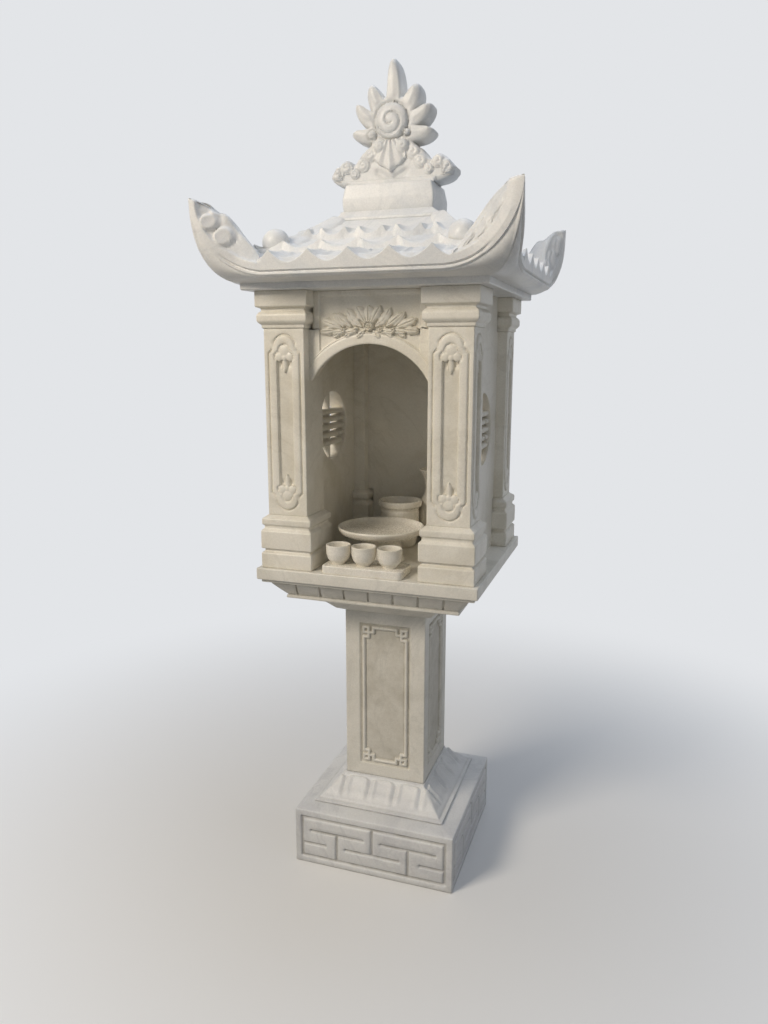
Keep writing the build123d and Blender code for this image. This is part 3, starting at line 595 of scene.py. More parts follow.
def fillet_lines(x, z):
    """Distance to the nearest centre line of the fillet, from the places inwards of its corner.

    A small square stands in the corner. The fillet stops two squares short of it on both
    sides, and each end turns in and back to the square's inner corner.
    """
    square = np.abs(to_box(x - KNOT / 2, z - KNOT / 2, KNOT / 2, KNOT / 2))
    turns = [(0, 400), (0, 2), (1, 2), (1, 1), (2, 1), (2, 0), (400, 0)]
    ends = [(KNOT * a, KNOT * b) for a, b in turns]
    return np.minimum.reduce([square] + [to_segment(x, z, *pair) for pair in zip(ends, ends[1:])])


def shaft_carving(k, along, height):
    """Sunk panel, and the raised fillet with a square knot in each of its corners."""
    z = height - shaft_middle
    panel = to_box(along, z, PANEL_HALF_X, PANEL_HALF_Z, 2.0)
    sunk = -PANEL_DEPTH * ease(0.5 - panel / 3.0)
    off = fillet_lines(PANEL_HALF_X - FILLET_INSET - np.abs(along),
                       PANEL_HALF_Z - FILLET_INSET - np.abs(z))
    bead = (PANEL_DEPTH + 1.0) * dome(off / (FILLET_HALF + 0.4), 0.35)
    beside = -1.2 * bell(off - FILLET_HALF - 1.6, 1.6)
    return sunk + (bead + beside) * (panel < -1)


def both_sides(half, insets):
    """Places at some insets from both edges of a panel."""
    return [side * (half - inset) for side in (-1, 1) for inset in insets]


shaft_outline = divided(
    softened(block_outline(SHAFT_HALF, shaft_low[2], shaft_high[2]), 2.0), 14.0,
    near=[shaft_middle + z for z in both_sides(PANEL_HALF_Z, (0, 8, 15, 22, 30, 37))],
    reach=5.0, fine=1.55)
shaft_columns = stations(
    -SHAFT_HALF + 2, SHAFT_HALF - 2, 10, both_sides(PANEL_HALF_X, (0, 8, 15, 22, 30, 38)),
    reach=5.0, fine=1.55) / (SHAFT_HALF - 2)
make_piece("panelled_shaft", [carried_round(shaft_outline, 2.0, shaft_columns, shaft_carving)],
           pedestal_finish, "pedestal_shaft")

# %% Corbel of sloping blocks
corbel_low, corbel_high = box_mm("table_corbel")
slab_low, slab_high = box_mm("table_slab")
CORBEL_BLOCKS = 8
BLOCK_JOINT = 4.0
JOINT_LEAN = 8.0              # a joint's head lies this far right of its foot
BLOCK_PROUD = 4.5             # how far a block stands off the slope behind it
SLOPE_SUNK = 3.5              # how far that slope lies behind the line from foot to head
BLOCK_DEEP = -6.0             # rear of a block, seen from its own face
brim = corbel_high[0]
corbel_foot, corbel_top = corbel_low[2], corbel_high[2]
block_foot = np.array([brim - 42, corbel_foot + 55])
block_head = np.array([brim - 15, corbel_top - 12])
block_run = block_head - block_foot
block_out = np.array([block_run[1], -block_run[0]]) / np.hypot(*block_run)
block_pitch = 2 * block_head[0] / CORBEL_BLOCKS


def corbel_block(k, number):
    """One block of side k: a loop over its face and behind it, at each place along its length.

    Its joints stay nearly upright, so the two outer blocks end on the hip and are wider at the top.
    """
    share = np.array([0, 0, 0.02, 0.07, 0.5, 0.93, 0.98, 1, 1])[:, None]
    depth = np.array([BLOCK_DEEP, -1.8, -0.5, 0, 0.5, 0, -0.5, -1.8, BLOCK_DEEP])[:, None]
    half = block_foot[0] + block_run[0] * share
    start = (number - CORBEL_BLOCKS / 2) * block_pitch + JOINT_LEAN * (share - 0.5)
    first = np.maximum(start + BLOCK_JOINT / 2, -half)
    last = np.minimum(start + block_pitch - BLOCK_JOINT / 2, half)
    step = np.array([0, 0.015, 0.05, 0.2, 0.4, 0.6, 0.8, 0.95, 0.985, 1])
    soft = np.array([-1.8, -0.5, 0, 0, 0, 0, 0, 0, -0.5, -1.8])
    along = first + (last - first) * step
    off = np.maximum(depth + soft, BLOCK_DEEP) + BLOCK_PROUD - SLOPE_SUNK
    height = block_foot[1] + block_run[1] * share + off * block_out[1]
    x, y = quarter_turned(along, -half - off * block_out[0], k)
    ring = as_points(x, y, height)
    return closed_ends(np.concatenate([ring, ring[:1]])), None, False


behind = -SLOPE_SUNK * block_out
corbel_outline = softened([
    (0, corbel_foot), (neck_half + 2, corbel_foot), (neck_half + 17, corbel_foot + 7),
    (neck_half + 34, corbel_foot + 24), (brim - 46, corbel_foot + 46), (brim - 39, corbel_foot + 47),
    (brim - 39, corbel_foot + 52), block_foot + behind, block_head + behind,
    (brim - 17, corbel_top - 8), (brim, corbel_top - 7), (brim, corbel_top), (0, corbel_top)], 1.6)
make_piece("block_corbel", [carried_round(corbel_outline, 2.0, np.linspace(-1, 1, 9))] + [
    corbel_block(k, number) for k in range(4) for number in range(CORBEL_BLOCKS)],
    pedestal_finish, "table_corbel")

# %% Altar slab
slab_outline = softened(block_outline(slab_high[0], slab_low[2], slab_high[2]), 2.5, 5)
make_piece("altar_slab", [carried_round(slab_outline, 3.0, np.linspace(-1, 1, 9))],
           pedestal_finish, "table_slab")

# %% [markdown]
# ## Columns with long cartouches
# Four columns carry the roof. Each stands on a stepped base and ends in a banded capital,
# both run round a square. The two faces that look outwards carry a long cartouche: a moulded
# frame with a rounded lobe at each end, round a sunk field with a small flower at its top and
# foot. The frame is a height over the distance from one outline, which is a bar with bevelled
# ends and two discs melted together, so that its shoulders come by themselves.

# %% Column bases and capitals
CORNERS = {"front_left": (-1, -1), "front_right": (1, -1), "back_left": (-1, 1), "back_right": (1, 1)}


def column_centre(corner):
    """Middle of a column in plan, from its shaft in the frame."""
    low, high = box_mm("column_shaft_" + corner)
    return (low[:2] + high[:2]) / 2


def stacked(steps, low, high):
    """Closed outline of a course from (half width, rise above its bed) steps, with soft corners."""
    points = [(0, low)] + [(half, low + rise) for half, rise in steps] + [(0, high)]
    return divided(softened(points, 2.4, 4), 26.0)


step_low, step_high = box_mm("column_base_front_left")
capital_low, capital_high = box_mm("column_capital_front_left")
column_low, column_high = box_mm("column_shaft_front_left")
step_half, column_half, capital_half = (
    (high[0] - low[0]) / 2 for low, high in (
        (step_low, step_high), (column_low, column_high), (capital_low, capital_high)))
step_rise = step_high[2] - step_low[2]
capital_rise = capital_high[2] - capital_low[2]
base_steps = [
    (step_half, 0), (step_half, 32), (step_half - 6, 36), (step_half - 6, 41), (step_half, 42),
    (step_half, 80), (step_half - 6, 85), (step_half - 6, 91), (step_half - 2, 94),
    (step_half - 2, 106), (column_half + 4, step_rise - 3), (column_half + 1, step_rise)]
capital_steps = [
    (column_half, 0), (column_half + 3, 2), (column_half + 3, 8), (capital_half - 6, 10),
    (capital_half - 2, 15), (capital_half - 2, 27), (capital_half - 6, 33), (capital_half - 9, 34),
    (capital_half - 9, 40), (capital_half, 43), (capital_half, capital_rise)]
for corner in CORNERS:
    for name, steps, low, high, node in (
            ("stepped_base_", base_steps, step_low, step_high, "column_base_"),
            ("banded_capital_", capital_steps, capital_low, capital_high, "column_capital_")):
        course = carried_round(stacked(steps, low[2], high[2]), 2.6, np.linspace(-1, 1, 5),
                               centre=column_centre(corner))
        make_piece(name + corner, [course], niche_finish, node + corner)

# %% Column shafts
CARTOUCHE_HALF_X = 33.0       # half width of the frame
SHOULDER_Z = 142.0            # its shoulders, above and below the middle
LOBE_RADIUS = 23.5
LOBE_RISE = 154.5             # lobe centres above and below the middle
LOBE_MELT = 5.0               # over this distance bar and lobe run into each other
FRAME_BAND = 17.0
FIELD_HALF_Z = 131.0
FRAME_GROOVE = 3.0
# The flower's petals: place across, height above the column's middle, and radius
FLOWER = ((0, 148, 11.5), (-11.5, 136, 9.0), (11.5, 136, 9.0), (0, 134, 6.5))
BUD_TOP, BUD_FOOT = 134, 104
COLUMN_ARRIS = 2.0
column_middle = (column_low[2] + column_high[2]) / 2
column_rise = column_high[2] - column_low[2]


def cartouche(x, z):
    """Signed distance from the cartouche's outline: a bar with bevelled ends melted into two lobes."""
    bevel = (np.abs(x) + np.abs(z) - CARTOUCHE_HALF_X - SHOULDER_Z) / math.sqrt(2)
    bar = np.maximum(np.abs(x) - CARTOUCHE_HALF_X, bevel)
    lobe = np.hypot(x, np.abs(z) - LOBE_RISE) - LOBE_RADIUS
    melt = np.maximum(LOBE_MELT - np.abs(bar - lobe), 0) / LOBE_MELT
    return np.minimum(bar, lobe) - melt ** 2 * LOBE_MELT / 4


def leaf(x, z, foot, lean, length, width):
    """Height share of one leaf: an oval with a lobed edge and a groove along its middle."""
    turned_x = (x - foot[0]) * math.cos(lean) - (z - foot[1]) * math.sin(lean)
    turned_z = (x - foot[0]) * math.sin(lean) + (z - foot[1]) * math.cos(lean)
    up = np.clip(turned_z / length, 0, 1)
    half = width / 2 * np.sin(math.pi * up ** 1.25) ** 0.75 * (1 + 0.12 * np.sin(up * 17))
    across = np.abs(turned_x) / np.maximum(half, 0.01)
    inside = (turned_z > 0) & (turned_z < length) & (across < 1)
    return inside * dome(across) * (1 - 0.35 * bell(turned_x, 0.9))


def cartouche_carving(x, z):
    """Groove about the frame, its rounded band, the sunk field, and a flower at each end of the field.

    A flower is three round petals cut into the band, with a bud that hangs into the field
    between two deeper hollows.
    """
    z = np.abs(z)
    far = cartouche(x, z)
    groove = -FRAME_GROOVE * bell(far - 1.8, 1.6)
    band = 2.0 * dome((far + FRAME_BAND / 2) / (FRAME_BAND / 2))
    sunk = ease((1.2 - to_box(x, z, CARTOUCHE_HALF_X - FRAME_BAND, FIELD_HALF_Z)) / 2.4)
    hollow = 3.0 * bell(np.abs(x) - 9.0, 5.0) * bell(z - 121, 6.0)
    down = np.clip((BUD_TOP - z) / (BUD_TOP - BUD_FOOT), 0, 1)
    bud_half = np.maximum(7.5 * np.sin(math.pi * down ** 0.7) ** 0.8, 0.01)
    bud = 4.6 * dome(x / bud_half) * (z < BUD_TOP) * (z > BUD_FOOT)
    height = band - sunk * (5.0 + hollow) + bud * sunk
    petals = [(np.hypot(x - across, z - rise), radius) for across, rise, radius in FLOWER]
    petal = np.maximum.reduce([dome(off / radius) for off, radius in petals])
    off_petals = np.minimum.reduce([off - radius for off, radius in petals])
    height = np.where(off_petals < 0, 3.2 * petal - 1.4, height)
    return groove + height - 2.4 * bell(off_petals - 1.4, 1.3) * (z > 128)


def column_sheet(corner):
    """Square shaft whose two outward faces carry the cartouche; the other two stay plain."""
    side_x, side_y = CORNERS[corner]
    outward = {0 if side_y < 0 else 2, 1 if side_x > 0 else 3}
    inner_half = column_half - COLUMN_ARRIS
    carved = stations(-inner_half, inner_half, 5, [-36, -33, -17, -9, 0, 9, 17, 33, 36],
                      reach=4.5, fine=1.35) / inner_half
    plain = np.linspace(-1, 1, 4)
    ends = [column_middle + side * rise for side in (-1, 1) for rise in range(108, 186, 8)]
    outline = divided(softened(block_outline(column_half, column_low[2], column_high[2]), 1.0),
                      16.0, near=ends, reach=5.0)

    def carve(k, along, height):
        """The cartouche on the two outward sides, clear of their edges."""
        z = height - column_middle
        on_face = (np.abs(z) < column_rise / 2 - 2) & (np.abs(along) < inner_half + 0.01)
        return cartouche_carving(along, z) * on_face if k in outward else np.zeros_like(along)

    return carried_round(outline, COLUMN_ARRIS, [carved if k in outward else plain for k in range(4)],
                         carve, centre=column_centre(corner))


for corner in CORNERS:
    make_piece("cartouche_shaft_" + corner, [column_sheet(corner)], niche_finish,
               "column_shaft_" + corner)

# %% [markdown]
# ## Arched lintel with leaf carving
# The lintel closes the niche above the opening. Its lower edge is one arc of a circle with a
# raised band along it, two upright strips frame it, and a spray of broad lobed leaves with
# small flowers fills the field. One sheet runs up its front, over its top and down its back,
# and its lower edge is the arc itself, so the reveal under the arch is part of the same skin.

# %% Lintel
lintel_low, lintel_high = box_mm("arch_lintel")
NARROW_HALF = column_centre("front_right")[0] - capital_half      # between the capitals
WIDE_HALF = column_centre("front_right")[0] - column_half         # between the shafts
ARCH_FOOT = 6.0
ARCH_RISE = 73.0
ARCH_BAND = 25.0
STRIP = 13.0
LINTEL_FACE = 5.0             # the band stands this far proud of the panel
FOLIAGE_DROP = 66.0           # middle of the carving below the lintel's top
FOLIAGE_RELIEF = 9.5
# One half of the spray: each leaf's foot, its lean in radians, length, width and share of relief
LEAVES = (((0, 2), 0.0, 34, 24, 0.8), ((5, 0), 0.50, 40, 21, 0.9), ((12, -6), 0.95, 40, 19, 0.75),
          ((24, -4), 0.55, 40, 20, 0.8), ((34, -6), 0.95, 44, 19, 0.95), ((50, -6), 0.70, 36, 17, 0.8),
          ((54, -8), 1.20, 46, 20, 0.9), ((66, -12), 1.62, 36, 17, 1.0), ((8, -12), 2.30, 22, 15, 0.9),
          ((18, -12), 1.70, 34, 15, 1.0), ((32, -14), 2.15, 20, 13, 0.9),
          ((44, -13), 1.66, 32, 14, 0.95), ((58, -16), 2.05, 18, 11, 0.8))
# Its flowers: place across, height and radius
FLOWERS = ((0, -3, 11), (26, -11, 6), (51, -12, 6))
lintel_front, lintel_back = lintel_low[1] + LINTEL_FACE, lintel_high[1]
lintel_top = lintel_high[2]
arch_half = WIDE_HALF - ARCH_FOOT
arch_radius = (arch_half ** 2 + ARCH_RISE ** 2) / (2 * ARCH_RISE)
arch_centre_z = lintel_low[2] + ARCH_RISE - arch_radius


def foliage(x, z):
    """Height share of the leaf carving: broad lobed leaves fan out on each side of a small flower."""
    side = np.abs(x)
    height = np.zeros_like(x)
    for *shape, lift in LEAVES:
        height = np.maximum(height, lift * leaf(side, z, *shape))
    for centre_x, centre_z, radius in FLOWERS:
        far = np.hypot(side - centre_x, z - centre_z)
        height = np.maximum(height, (0.98 - 0.28 * np.cos(far * 1.1)) * ease((radius - far) / 2.5))
    return height


def lintel_carving(x, z):
    """Band along the arch, plain strips at both sides, and the foliage between them."""
    from_arch = np.hypot(x, z - arch_centre_z) - arch_radius
    band = ease((ARCH_BAND - from_arch) / 3.0) * (z < lintel_top - 2)
    strip = ease((np.abs(x) - NARROW_HALF + STRIP) / 3.0)
    ledge = ease((z - lintel_top + 12.0) / 3.0)
    frame_height = LINTEL_FACE * np.maximum(band, np.maximum(0.75 * strip, 0.55 * ledge))
    bead = -1.5 * bell(from_arch - ARCH_BAND + 5.0, 1.6)
    leaves = FOLIAGE_RELIEF * foliage(x * 0.98, z - (lintel_top - FOLIAGE_DROP))
    return np.maximum(frame_height, leaves * (1 - strip)) + bead * (band > 0.5)


share = stations(-1, 1, 0.011, fine=0.0028, features=(-0.95, -0.9, 0.9, 0.95), reach=0.02)
lower_x = share * WIDE_HALF
arc = arch_centre_z + np.sqrt(np.maximum(arch_radius ** 2 - lower_x ** 2, 0))
lower_z = np.where(np.abs(lower_x) < arch_half, arc, lintel_low[2])
rows = np.concatenate([np.linspace(0, 0.03, 3), np.linspace(0.045, 0.97, 84), [0.985, 1.0]])[:, None]
face_z = lower_z + rows * (lintel_top - lower_z)
face_x = share * np.where(face_z > capital_low[2] - 0.5, NARROW_HALF, WIDE_HALF)
proud = lintel_carving(face_x, face_z)
rounded_edge = 1.6 * (1 - ease(rows / 0.02)) + 1.6 * ease((rows - 0.985) / 0.015)
front_sheet = as_points(face_x, lintel_front - proud + rounded_edge, face_z)
back_sheet = as_points(face_x, lintel_back, face_z)[::-6]
lintel_ring = closed_ends(np.concatenate([front_sheet, back_sheet, front_sheet[:1]]))
lintel_dust_and_shade = np.zeros(lintel_ring.shape[:2])
# The plain field behind the leaves is given a depth of -1.6 mm, so the finish paints it darker: dust and
# painted shade.
lintel_dust_and_shade[:len(rows), 1:-1] = np.where(proud < 1.0, -1.6, 0)
make_piece("carved_lintel", [(lintel_ring, lintel_dust_and_shade, False)], niche_finish, "arch_lintel")

# %% [markdown]
# ## Walls with a round pierced window
# Thin slabs close the sides and the back. Each side wall is pierced by a round window with
# five level bars on an upright stem; each second bar is cut into a short one and two stubs.
# The wall is one closed sheet with a hole: its rings start at the window's edge, run out over
# the face, round the outer edge and back over the inner face. The bars are thick slats with
# round edges and domed ends, let into the reveal.

# %% Side walls
side_low, side_high = box_mm("wall_left")
WALL_THICKNESS = side_high[0] - side_low[0]
WINDOW_RADIUS = 78.0
WINDOW_Z = 1005.0
BAR_PITCH = 17.8
BAR_DROP = 5.0                # the bars' middle below the window's
BAR_HALF = (6.4, 15.0)        # half height and half depth of a bar
STEM_HALF = (5.0, 9.0)        # the same of the upright stem
BAR_LET_IN = 3.0              # how far bars and stem reach into the window's edge
SHORT_HALF = 39.0             # half length of the short bars
STUB_START = 51.0
inner_capital = -capital_low[0] - 2 * capital_half   # edge of a capital that faces the niche
wall_outline = np.array([
    (NARROW_HALF - 1, side_low[2]), (NARROW_HALF - 1, column_low[2]), (WIDE_HALF, column_low[2]),
    (WIDE_HALF, column_high[2]), (inner_capital, column_high[2]), (inner_capital, side_high[2])])


def wall_edge():
    """The wall's stepped outline as a closed row of points about the window's centre."""
    half = wall_outline - [0, WINDOW_Z]
    ring = np.concatenate([half, half[::-1] * [-1, 1], half[:1]])
    length = length_to(ring)
    even = np.unique(np.concatenate([length, np.arange(0, length[-1], 9.0)]))[:-1]
    return np.stack([np.interp(even, length, ring[:, k]) for k in (0, 1)], -1)


def slat(start, end, half_high, half_deep):
    """Slat between two points in a wall's own plane: a rounded oblong section, with domed ends."""
    run = np.array(end, float) - np.array(start, float)
    length = np.hypot(*run)
    rounding = half_high * (1 - np.cos(np.radians(np.linspace(0, 90, 7)))) / length
    share = np.sort(np.concatenate([rounding, np.linspace(0, 1, 9)[1:-1], 1 - rounding]))[:, None]
    from_end = np.minimum(np.minimum(share, 1 - share) * length / half_high, 1)
    profile = dome(1 - from_end)
    angle = np.arange(28) * 2 * math.pi / 28
    across = np.array([-run[1], run[0]]) / length
    high = half_high * np.sign(np.cos(angle)) * np.abs(np.cos(angle)) ** 0.75
    deep = half_deep * np.sign(np.sin(angle)) * np.abs(np.sin(angle)) ** 0.55
    in_plane = (np.array(start) + share * run)[:, None] + (profile * high)[..., None] * across
    return in_plane, (0.35 + 0.65 * profile) * deep * (profile > 0)


def window_slats():
    """Ends and half sizes of every slat in the window, about the window's own middle."""
    for k in range(-2, 3):
        rise = k * BAR_PITCH - BAR_DROP
        chord = math.sqrt(WINDOW_RADIUS ** 2 - rise ** 2) + BAR_LET_IN
        if k % 2:
            yield (-SHORT_HALF, rise), (SHORT_HALF, rise), *BAR_HALF
            for side in (-1, 1):
                yield (side * STUB_START, rise), (side * chord, rise), *BAR_HALF
        else:
            yield (-chord, rise), (chord, rise), *BAR_HALF
    reach = WINDOW_RADIUS + BAR_LET_IN
    yield (0, -reach), (0, reach), *STEM_HALF


def side_wall_sheets(side):
    """The pierced slab and its bars, placed on the left (-1) or right (1) of the niche."""
    edge = wall_edge()
    angle = np.arctan2(edge[:, 1], edge[:, 0])
    rim = WINDOW_RADIUS * np.stack([np.cos(angle), np.sin(angle)], -1)
    reach = np.array([0, 0.02, 0.05, 0.09, 0.14, 0.3, 0.6, 1.0])[:, None, None]
    face = rim + reach * (edge - rim)
    soft = np.array([2.4, 0.9, 0, 0, 0, 0, 0, 0])[:, None]
    ring_groove = 2.2 * bell(np.hypot(face[..., 0], face[..., 1]) - WINDOW_RADIUS - 8, 3.0)
    outer = as_points(face[..., 0], soft + ring_groove, face[..., 1])
    inner = as_points(face[..., 0], WALL_THICKNESS - soft, face[..., 1])[::-1]
    sheets = [np.concatenate([outer, inner, outer[:1]])]
    for ends in window_slats():
        plane, depth = slat(*ends)
        sheets.append(as_points(plane[..., 0], WALL_THICKNESS / 2 + depth, plane[..., 1]))
    for sheet in sheets:
        x = side * (-side_low[0] - sheet[..., 1])
        yield as_points(x, sheet[..., 0], sheet[..., 2] + WINDOW_Z), None, True


for side, name in ((-1, "left"), (1, "right")):
    make_piece("pierced_wall_" + name, list(side_wall_sheets(side)), niche_finish, "wall_" + name)

# The back wall is a plain slab, so the frame's own solid stays and only takes the finish.
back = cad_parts["wall_back"]
back.data.materials.clear()
back.data.materials.append(niche_finish[0])
print("back wall keeps its own solid")

# %% [markdown]
# ## The roof as one sheet
# The roof is one carved block: a hollow-curved underside, a fascia whose upper edge runs in
# waves, four corners drawn up into horns, and a slope of fish-scale tiles. All four sides are
# alike, each a quarter turn from the next. One side is a sheet whose columns run along the
# eave and whose rows climb from the underside over the fascia to the cap on top, and four
# such strips close into one skin. First come the curves that the fascia is built on.

# %% Curves of the eave
roof_low, roof_high = box_mm("roof_body")
cap_low, cap_high = box_mm("roof_cap")
ball_low, ball_high = box_mm("hip_ball_front_right")
ROOF_BED = roof_low[2]
REACH = roof_high[0]          # from the middle to a horn's tip
TIP_Z = roof_high[2]
LIP_HALF, LIP_RISE = 249.5, 13.0
FACE_OUT = 300.0              # the fascia's distance from the middle
EAVE_FOOT = ROOF_BED + 20.5
LEVEL_HALF = 170.0            # half length of the level stretch of the fascia's foot
WAVE_HALF = 186.0             # half length of the waved stretch of its upper edge
WAVE_PITCH = 79.0
WAVE_CUSP = -3.0              # place of the middle cusp along the eave
WAVE_VALLEY = ROOF_BED + 45.0
WAVE_RISE = 23.0
RIGHT_ROOT = (197.0, 1346.0)  # where the right horn's upper edge starts: place and height
LEFT_ROOT = (190.0, 1350.0)
BAND_WIDTH = 25.0             # of the plain band along a horn's foot
FIELD_LEAN = 19.0             # how far a horn's back lies behind the band
SLOPE_FOOT = ROOF_BED + 54.0
SLOPE_RISE = cap_low[2] - SLOPE_FOOT
BALL_PLACE = (ball_low[0] + ball_high[0]) / 2


def out_to_tip(x):
    """Share of the way from the end of the level stretch out to a horn's tip."""
    return np.clip((np.abs(x) - LEVEL_HALF) / (REACH - LEVEL_HALF), 0, 1)


def fascia_foot(x):
    """Lower edge of the fascia: level in the middle, then a quarter of an ellipse up to the tip."""
    return TIP_Z - (TIP_Z - EAVE_FOOT) * np.sqrt(1 - out_to_tip(x) ** 2)


def waves(x):
    """Upper edge of the fascia between the horns: hollows that meet in sharp cusps."""
    share = (x - WAVE_CUSP) / WAVE_PITCH - 0.5
    share = share - np.round(share)
    return WAVE_VALLEY + WAVE_RISE * (2 * np.abs(share)) ** 1.8


def horn_back(x):
    """Upper edge of the horns: the right one a quarter wave, the left one a bowed chord with a hump."""
    place, root = RIGHT_ROOT
    share = np.clip((x - place) / (REACH - place), 0, 1)
    right_z = root + (TIP_Z + 1 - root) * np.sin(math.pi / 2 * np.clip(share / 0.92, 0, 1))
    right_z = right_z - 1.6 * np.maximum(place - x, 0)
    place, root = LEFT_ROOT
    share = np.clip((-x - place) / (REACH - place), 0, 1)
    hump = np.cos(math.pi / 2 * np.clip((x + 254) / 22, -1, 1)) ** 2
    left_z = root + (TIP_Z + 1 - root) * share + 12 * np.sin(math.pi * share) ** 0.6 + 11 * hump
    return np.where(x > 0, right_z, left_z - 1.6 * np.maximum(place + x, 0))


def eave_top(x):
    """Upper edge of the fascia: the waves in the middle and the horns at both ends."""
    return np.maximum(horn_back(x), np.where(np.abs(x) < WAVE_HALF, waves(x), WAVE_VALLEY + 2))


bend = np.radians(np.linspace(0, 90, 48))
horn_stations = LEVEL_HALF + (REACH - LEVEL_HALF) * np.sin(bend)
cusps = WAVE_CUSP + WAVE_PITCH * np.arange(-2, 3)
wave_stations = stations(-LEVEL_HALF, LEVEL_HALF, 4.5, cusps, reach=2.6, fine=1.3)
eave_x = np.concatenate([-horn_stations[::-1], wave_stations[1:-1], horn_stations])
print("columns along one eave:", len(eave_x))

# %% [markdown]
# The slope is a height over the plan, so it is worked out as one. It starts from a hipped
# pyramid whose sides are hollow like a tent's. Added to it are the tiles: hollows that run in
# from the waves, then two rows of tiles with round hanging ends, dished so that the two ends
# of each lip stand up like horns. Along the hips lies a raised rib, and at the corners the
# horns stand up, as high as the lower of the two fascias that meet there, and fall inwards.

# %% Height of the slope
HIP_HALF, HIP_RAISE = 27.0, 10.0
TILE_BEND = 0.035             # how far a lip's middle hangs below its ends, in shares of the slope
TILE_REACH = 0.20             # share of the slope over which a tile's back falls to it
HORN_FALL = 0.35              # how steeply a horn's top falls inwards
# Each row of tiles: its lip's share of the slope, one tile's place, half a tile's width, the
# lip's height, and how much higher its two ends stand
TILE_ROWS = ((0.33, 27.0, 39.5, 9.0, 14.0), (0.62, -12.0, 24.0, 10.0, 13.0))


def tile_row(along, up, foot, first, half, lip, horn):
    """Height of a row of dished tiles, first and half giving one's middle and half width.

    With w the distance from a tile's middle in half widths, the lip lies at foot + bend w^2
    and stands proud by lip + horn w^2, so that its ends are two horns; beyond them the
    height dips a little, and behind the lip it falls evenly to the slope.
    """
    place = (along - first) / WAVE_PITCH
    w = (place - np.round(place)) * WAVE_PITCH / half
    behind = up - foot - TILE_BEND * np.minimum(w ** 2, 1)
    fall = np.clip(1 - behind / TILE_REACH, 0, 1) ** 0.8
    beyond = np.clip(np.abs(w) - 1, 0, 1)
    proud = lip + horn * np.minimum(w ** 2, 1) - 1.1 * horn * ease(beyond / 0.45)
    return proud * ease(behind / 0.022) * fall


def roof_height(along, out, cap_half):
    """Top of the roof over one side's plan: slope, tiles, hip ribs, and the horns' backs."""
    deep, wide = cap_half
    up_own = np.clip((FACE_OUT - out) / (FACE_OUT - deep), 0, 1)
    up_side = np.clip((FACE_OUT - np.abs(along)) / (FACE_OUT - wide), 0, 1)
    up = np.minimum(up_own, up_side)
    base = SLOPE_FOOT + SLOPE_RISE * up ** 1.6
    run_in = np.clip(1 - 0.6 * up / 0.36, 0, 1) * (1 - ease((up - 0.28) / 0.10))
    from_wave = (waves(along) - SLOPE_FOOT) * run_in
    place = (along - WAVE_CUSP) / WAVE_PITCH
    beside = (place - np.floor(place)) * WAVE_PITCH
    ribs = 7.0 * (bell(beside - 24, 4.5) + bell(beside - 48, 4.5))
    ribs = ribs * ease(up / 0.05) * (1 - ease((up - 0.26) / 0.08))
    rows = sum(tile_row(along, up, *row) for row in TILE_ROWS)
    body = base + (from_wave + ribs + rows) * ease((up_side - up_own + 0.06) / 0.05)
    hip = to_segment(np.abs(along), out, (wide, deep), (BALL_PLACE, BALL_PLACE))
    body = np.maximum(body, base + HIP_RAISE * dome(hip / HIP_HALF))
    other = horn_back(-np.sign(along) * out)
    inside = np.maximum(FACE_OUT - FIELD_LEAN - np.maximum(np.abs(along), out), 0)
    horn = np.minimum(horn_back(along), other) - HORN_FALL * inside
    return np.maximum(body, horn)


# %% [markdown]
# The horns carry shallow carving on their faces: two coin-like bosses on each left one, and
# three looped leaves on each right one. A plain band is left along the fascia's foot. The
# carved field starts a step behind it and leans back towards the horn's upper edge.

# %% Carving on the horns
COINS = (((-281, 1411), 16.5), ((-254, 1384), 18.5))               # middle and radius
LOOPED_LEAVES = (((234, 1358), (258, 1402), 30), ((262, 1392), (284, 1434), 25),
                 ((211, 1350), (229, 1377), 14))                   # foot, tip and width


def coin(x, z, centre, radius):
    """Flat round boss with a raised rim, and a groove about it."""
    far = np.hypot(x - centre[0], z - centre[1])
    face = 4.8 * ease((radius + 0.8 - far) / 4.5)
    rim = 1.4 * bell(far - radius + 5.5, 2.4) * (far < radius)
    return face + rim - 1.8 * bell(far - radius - 3.0, 2.8)


def looped_leaf(x, z, foot, tip, width):
    """Pointed oval between two points: a pillow with an edge groove, and a looped groove inside it."""
    run = np.array(tip, float) - np.array(foot, float)
    length = np.hypot(*run)
    share = ((x - foot[0]) * run[0] + (z - foot[1]) * run[1]) / length ** 2
    off = np.abs((x - foot[0]) * run[1] - (z - foot[1]) * run[0]) / length
    half = np.maximum(width / 2 * np.sin(math.pi * np.clip(share, 0, 1)) ** 0.6, 0.1)
    beside = ease((share + 0.02) / 0.10) * ease((1.02 - share) / 0.10)
    loop = -2.6 * bell(off - 0.55 * half, 1.5) * ease((half - 5) / 3)
    return (5.0 * dome(off / half, 0.4) + loop) * beside


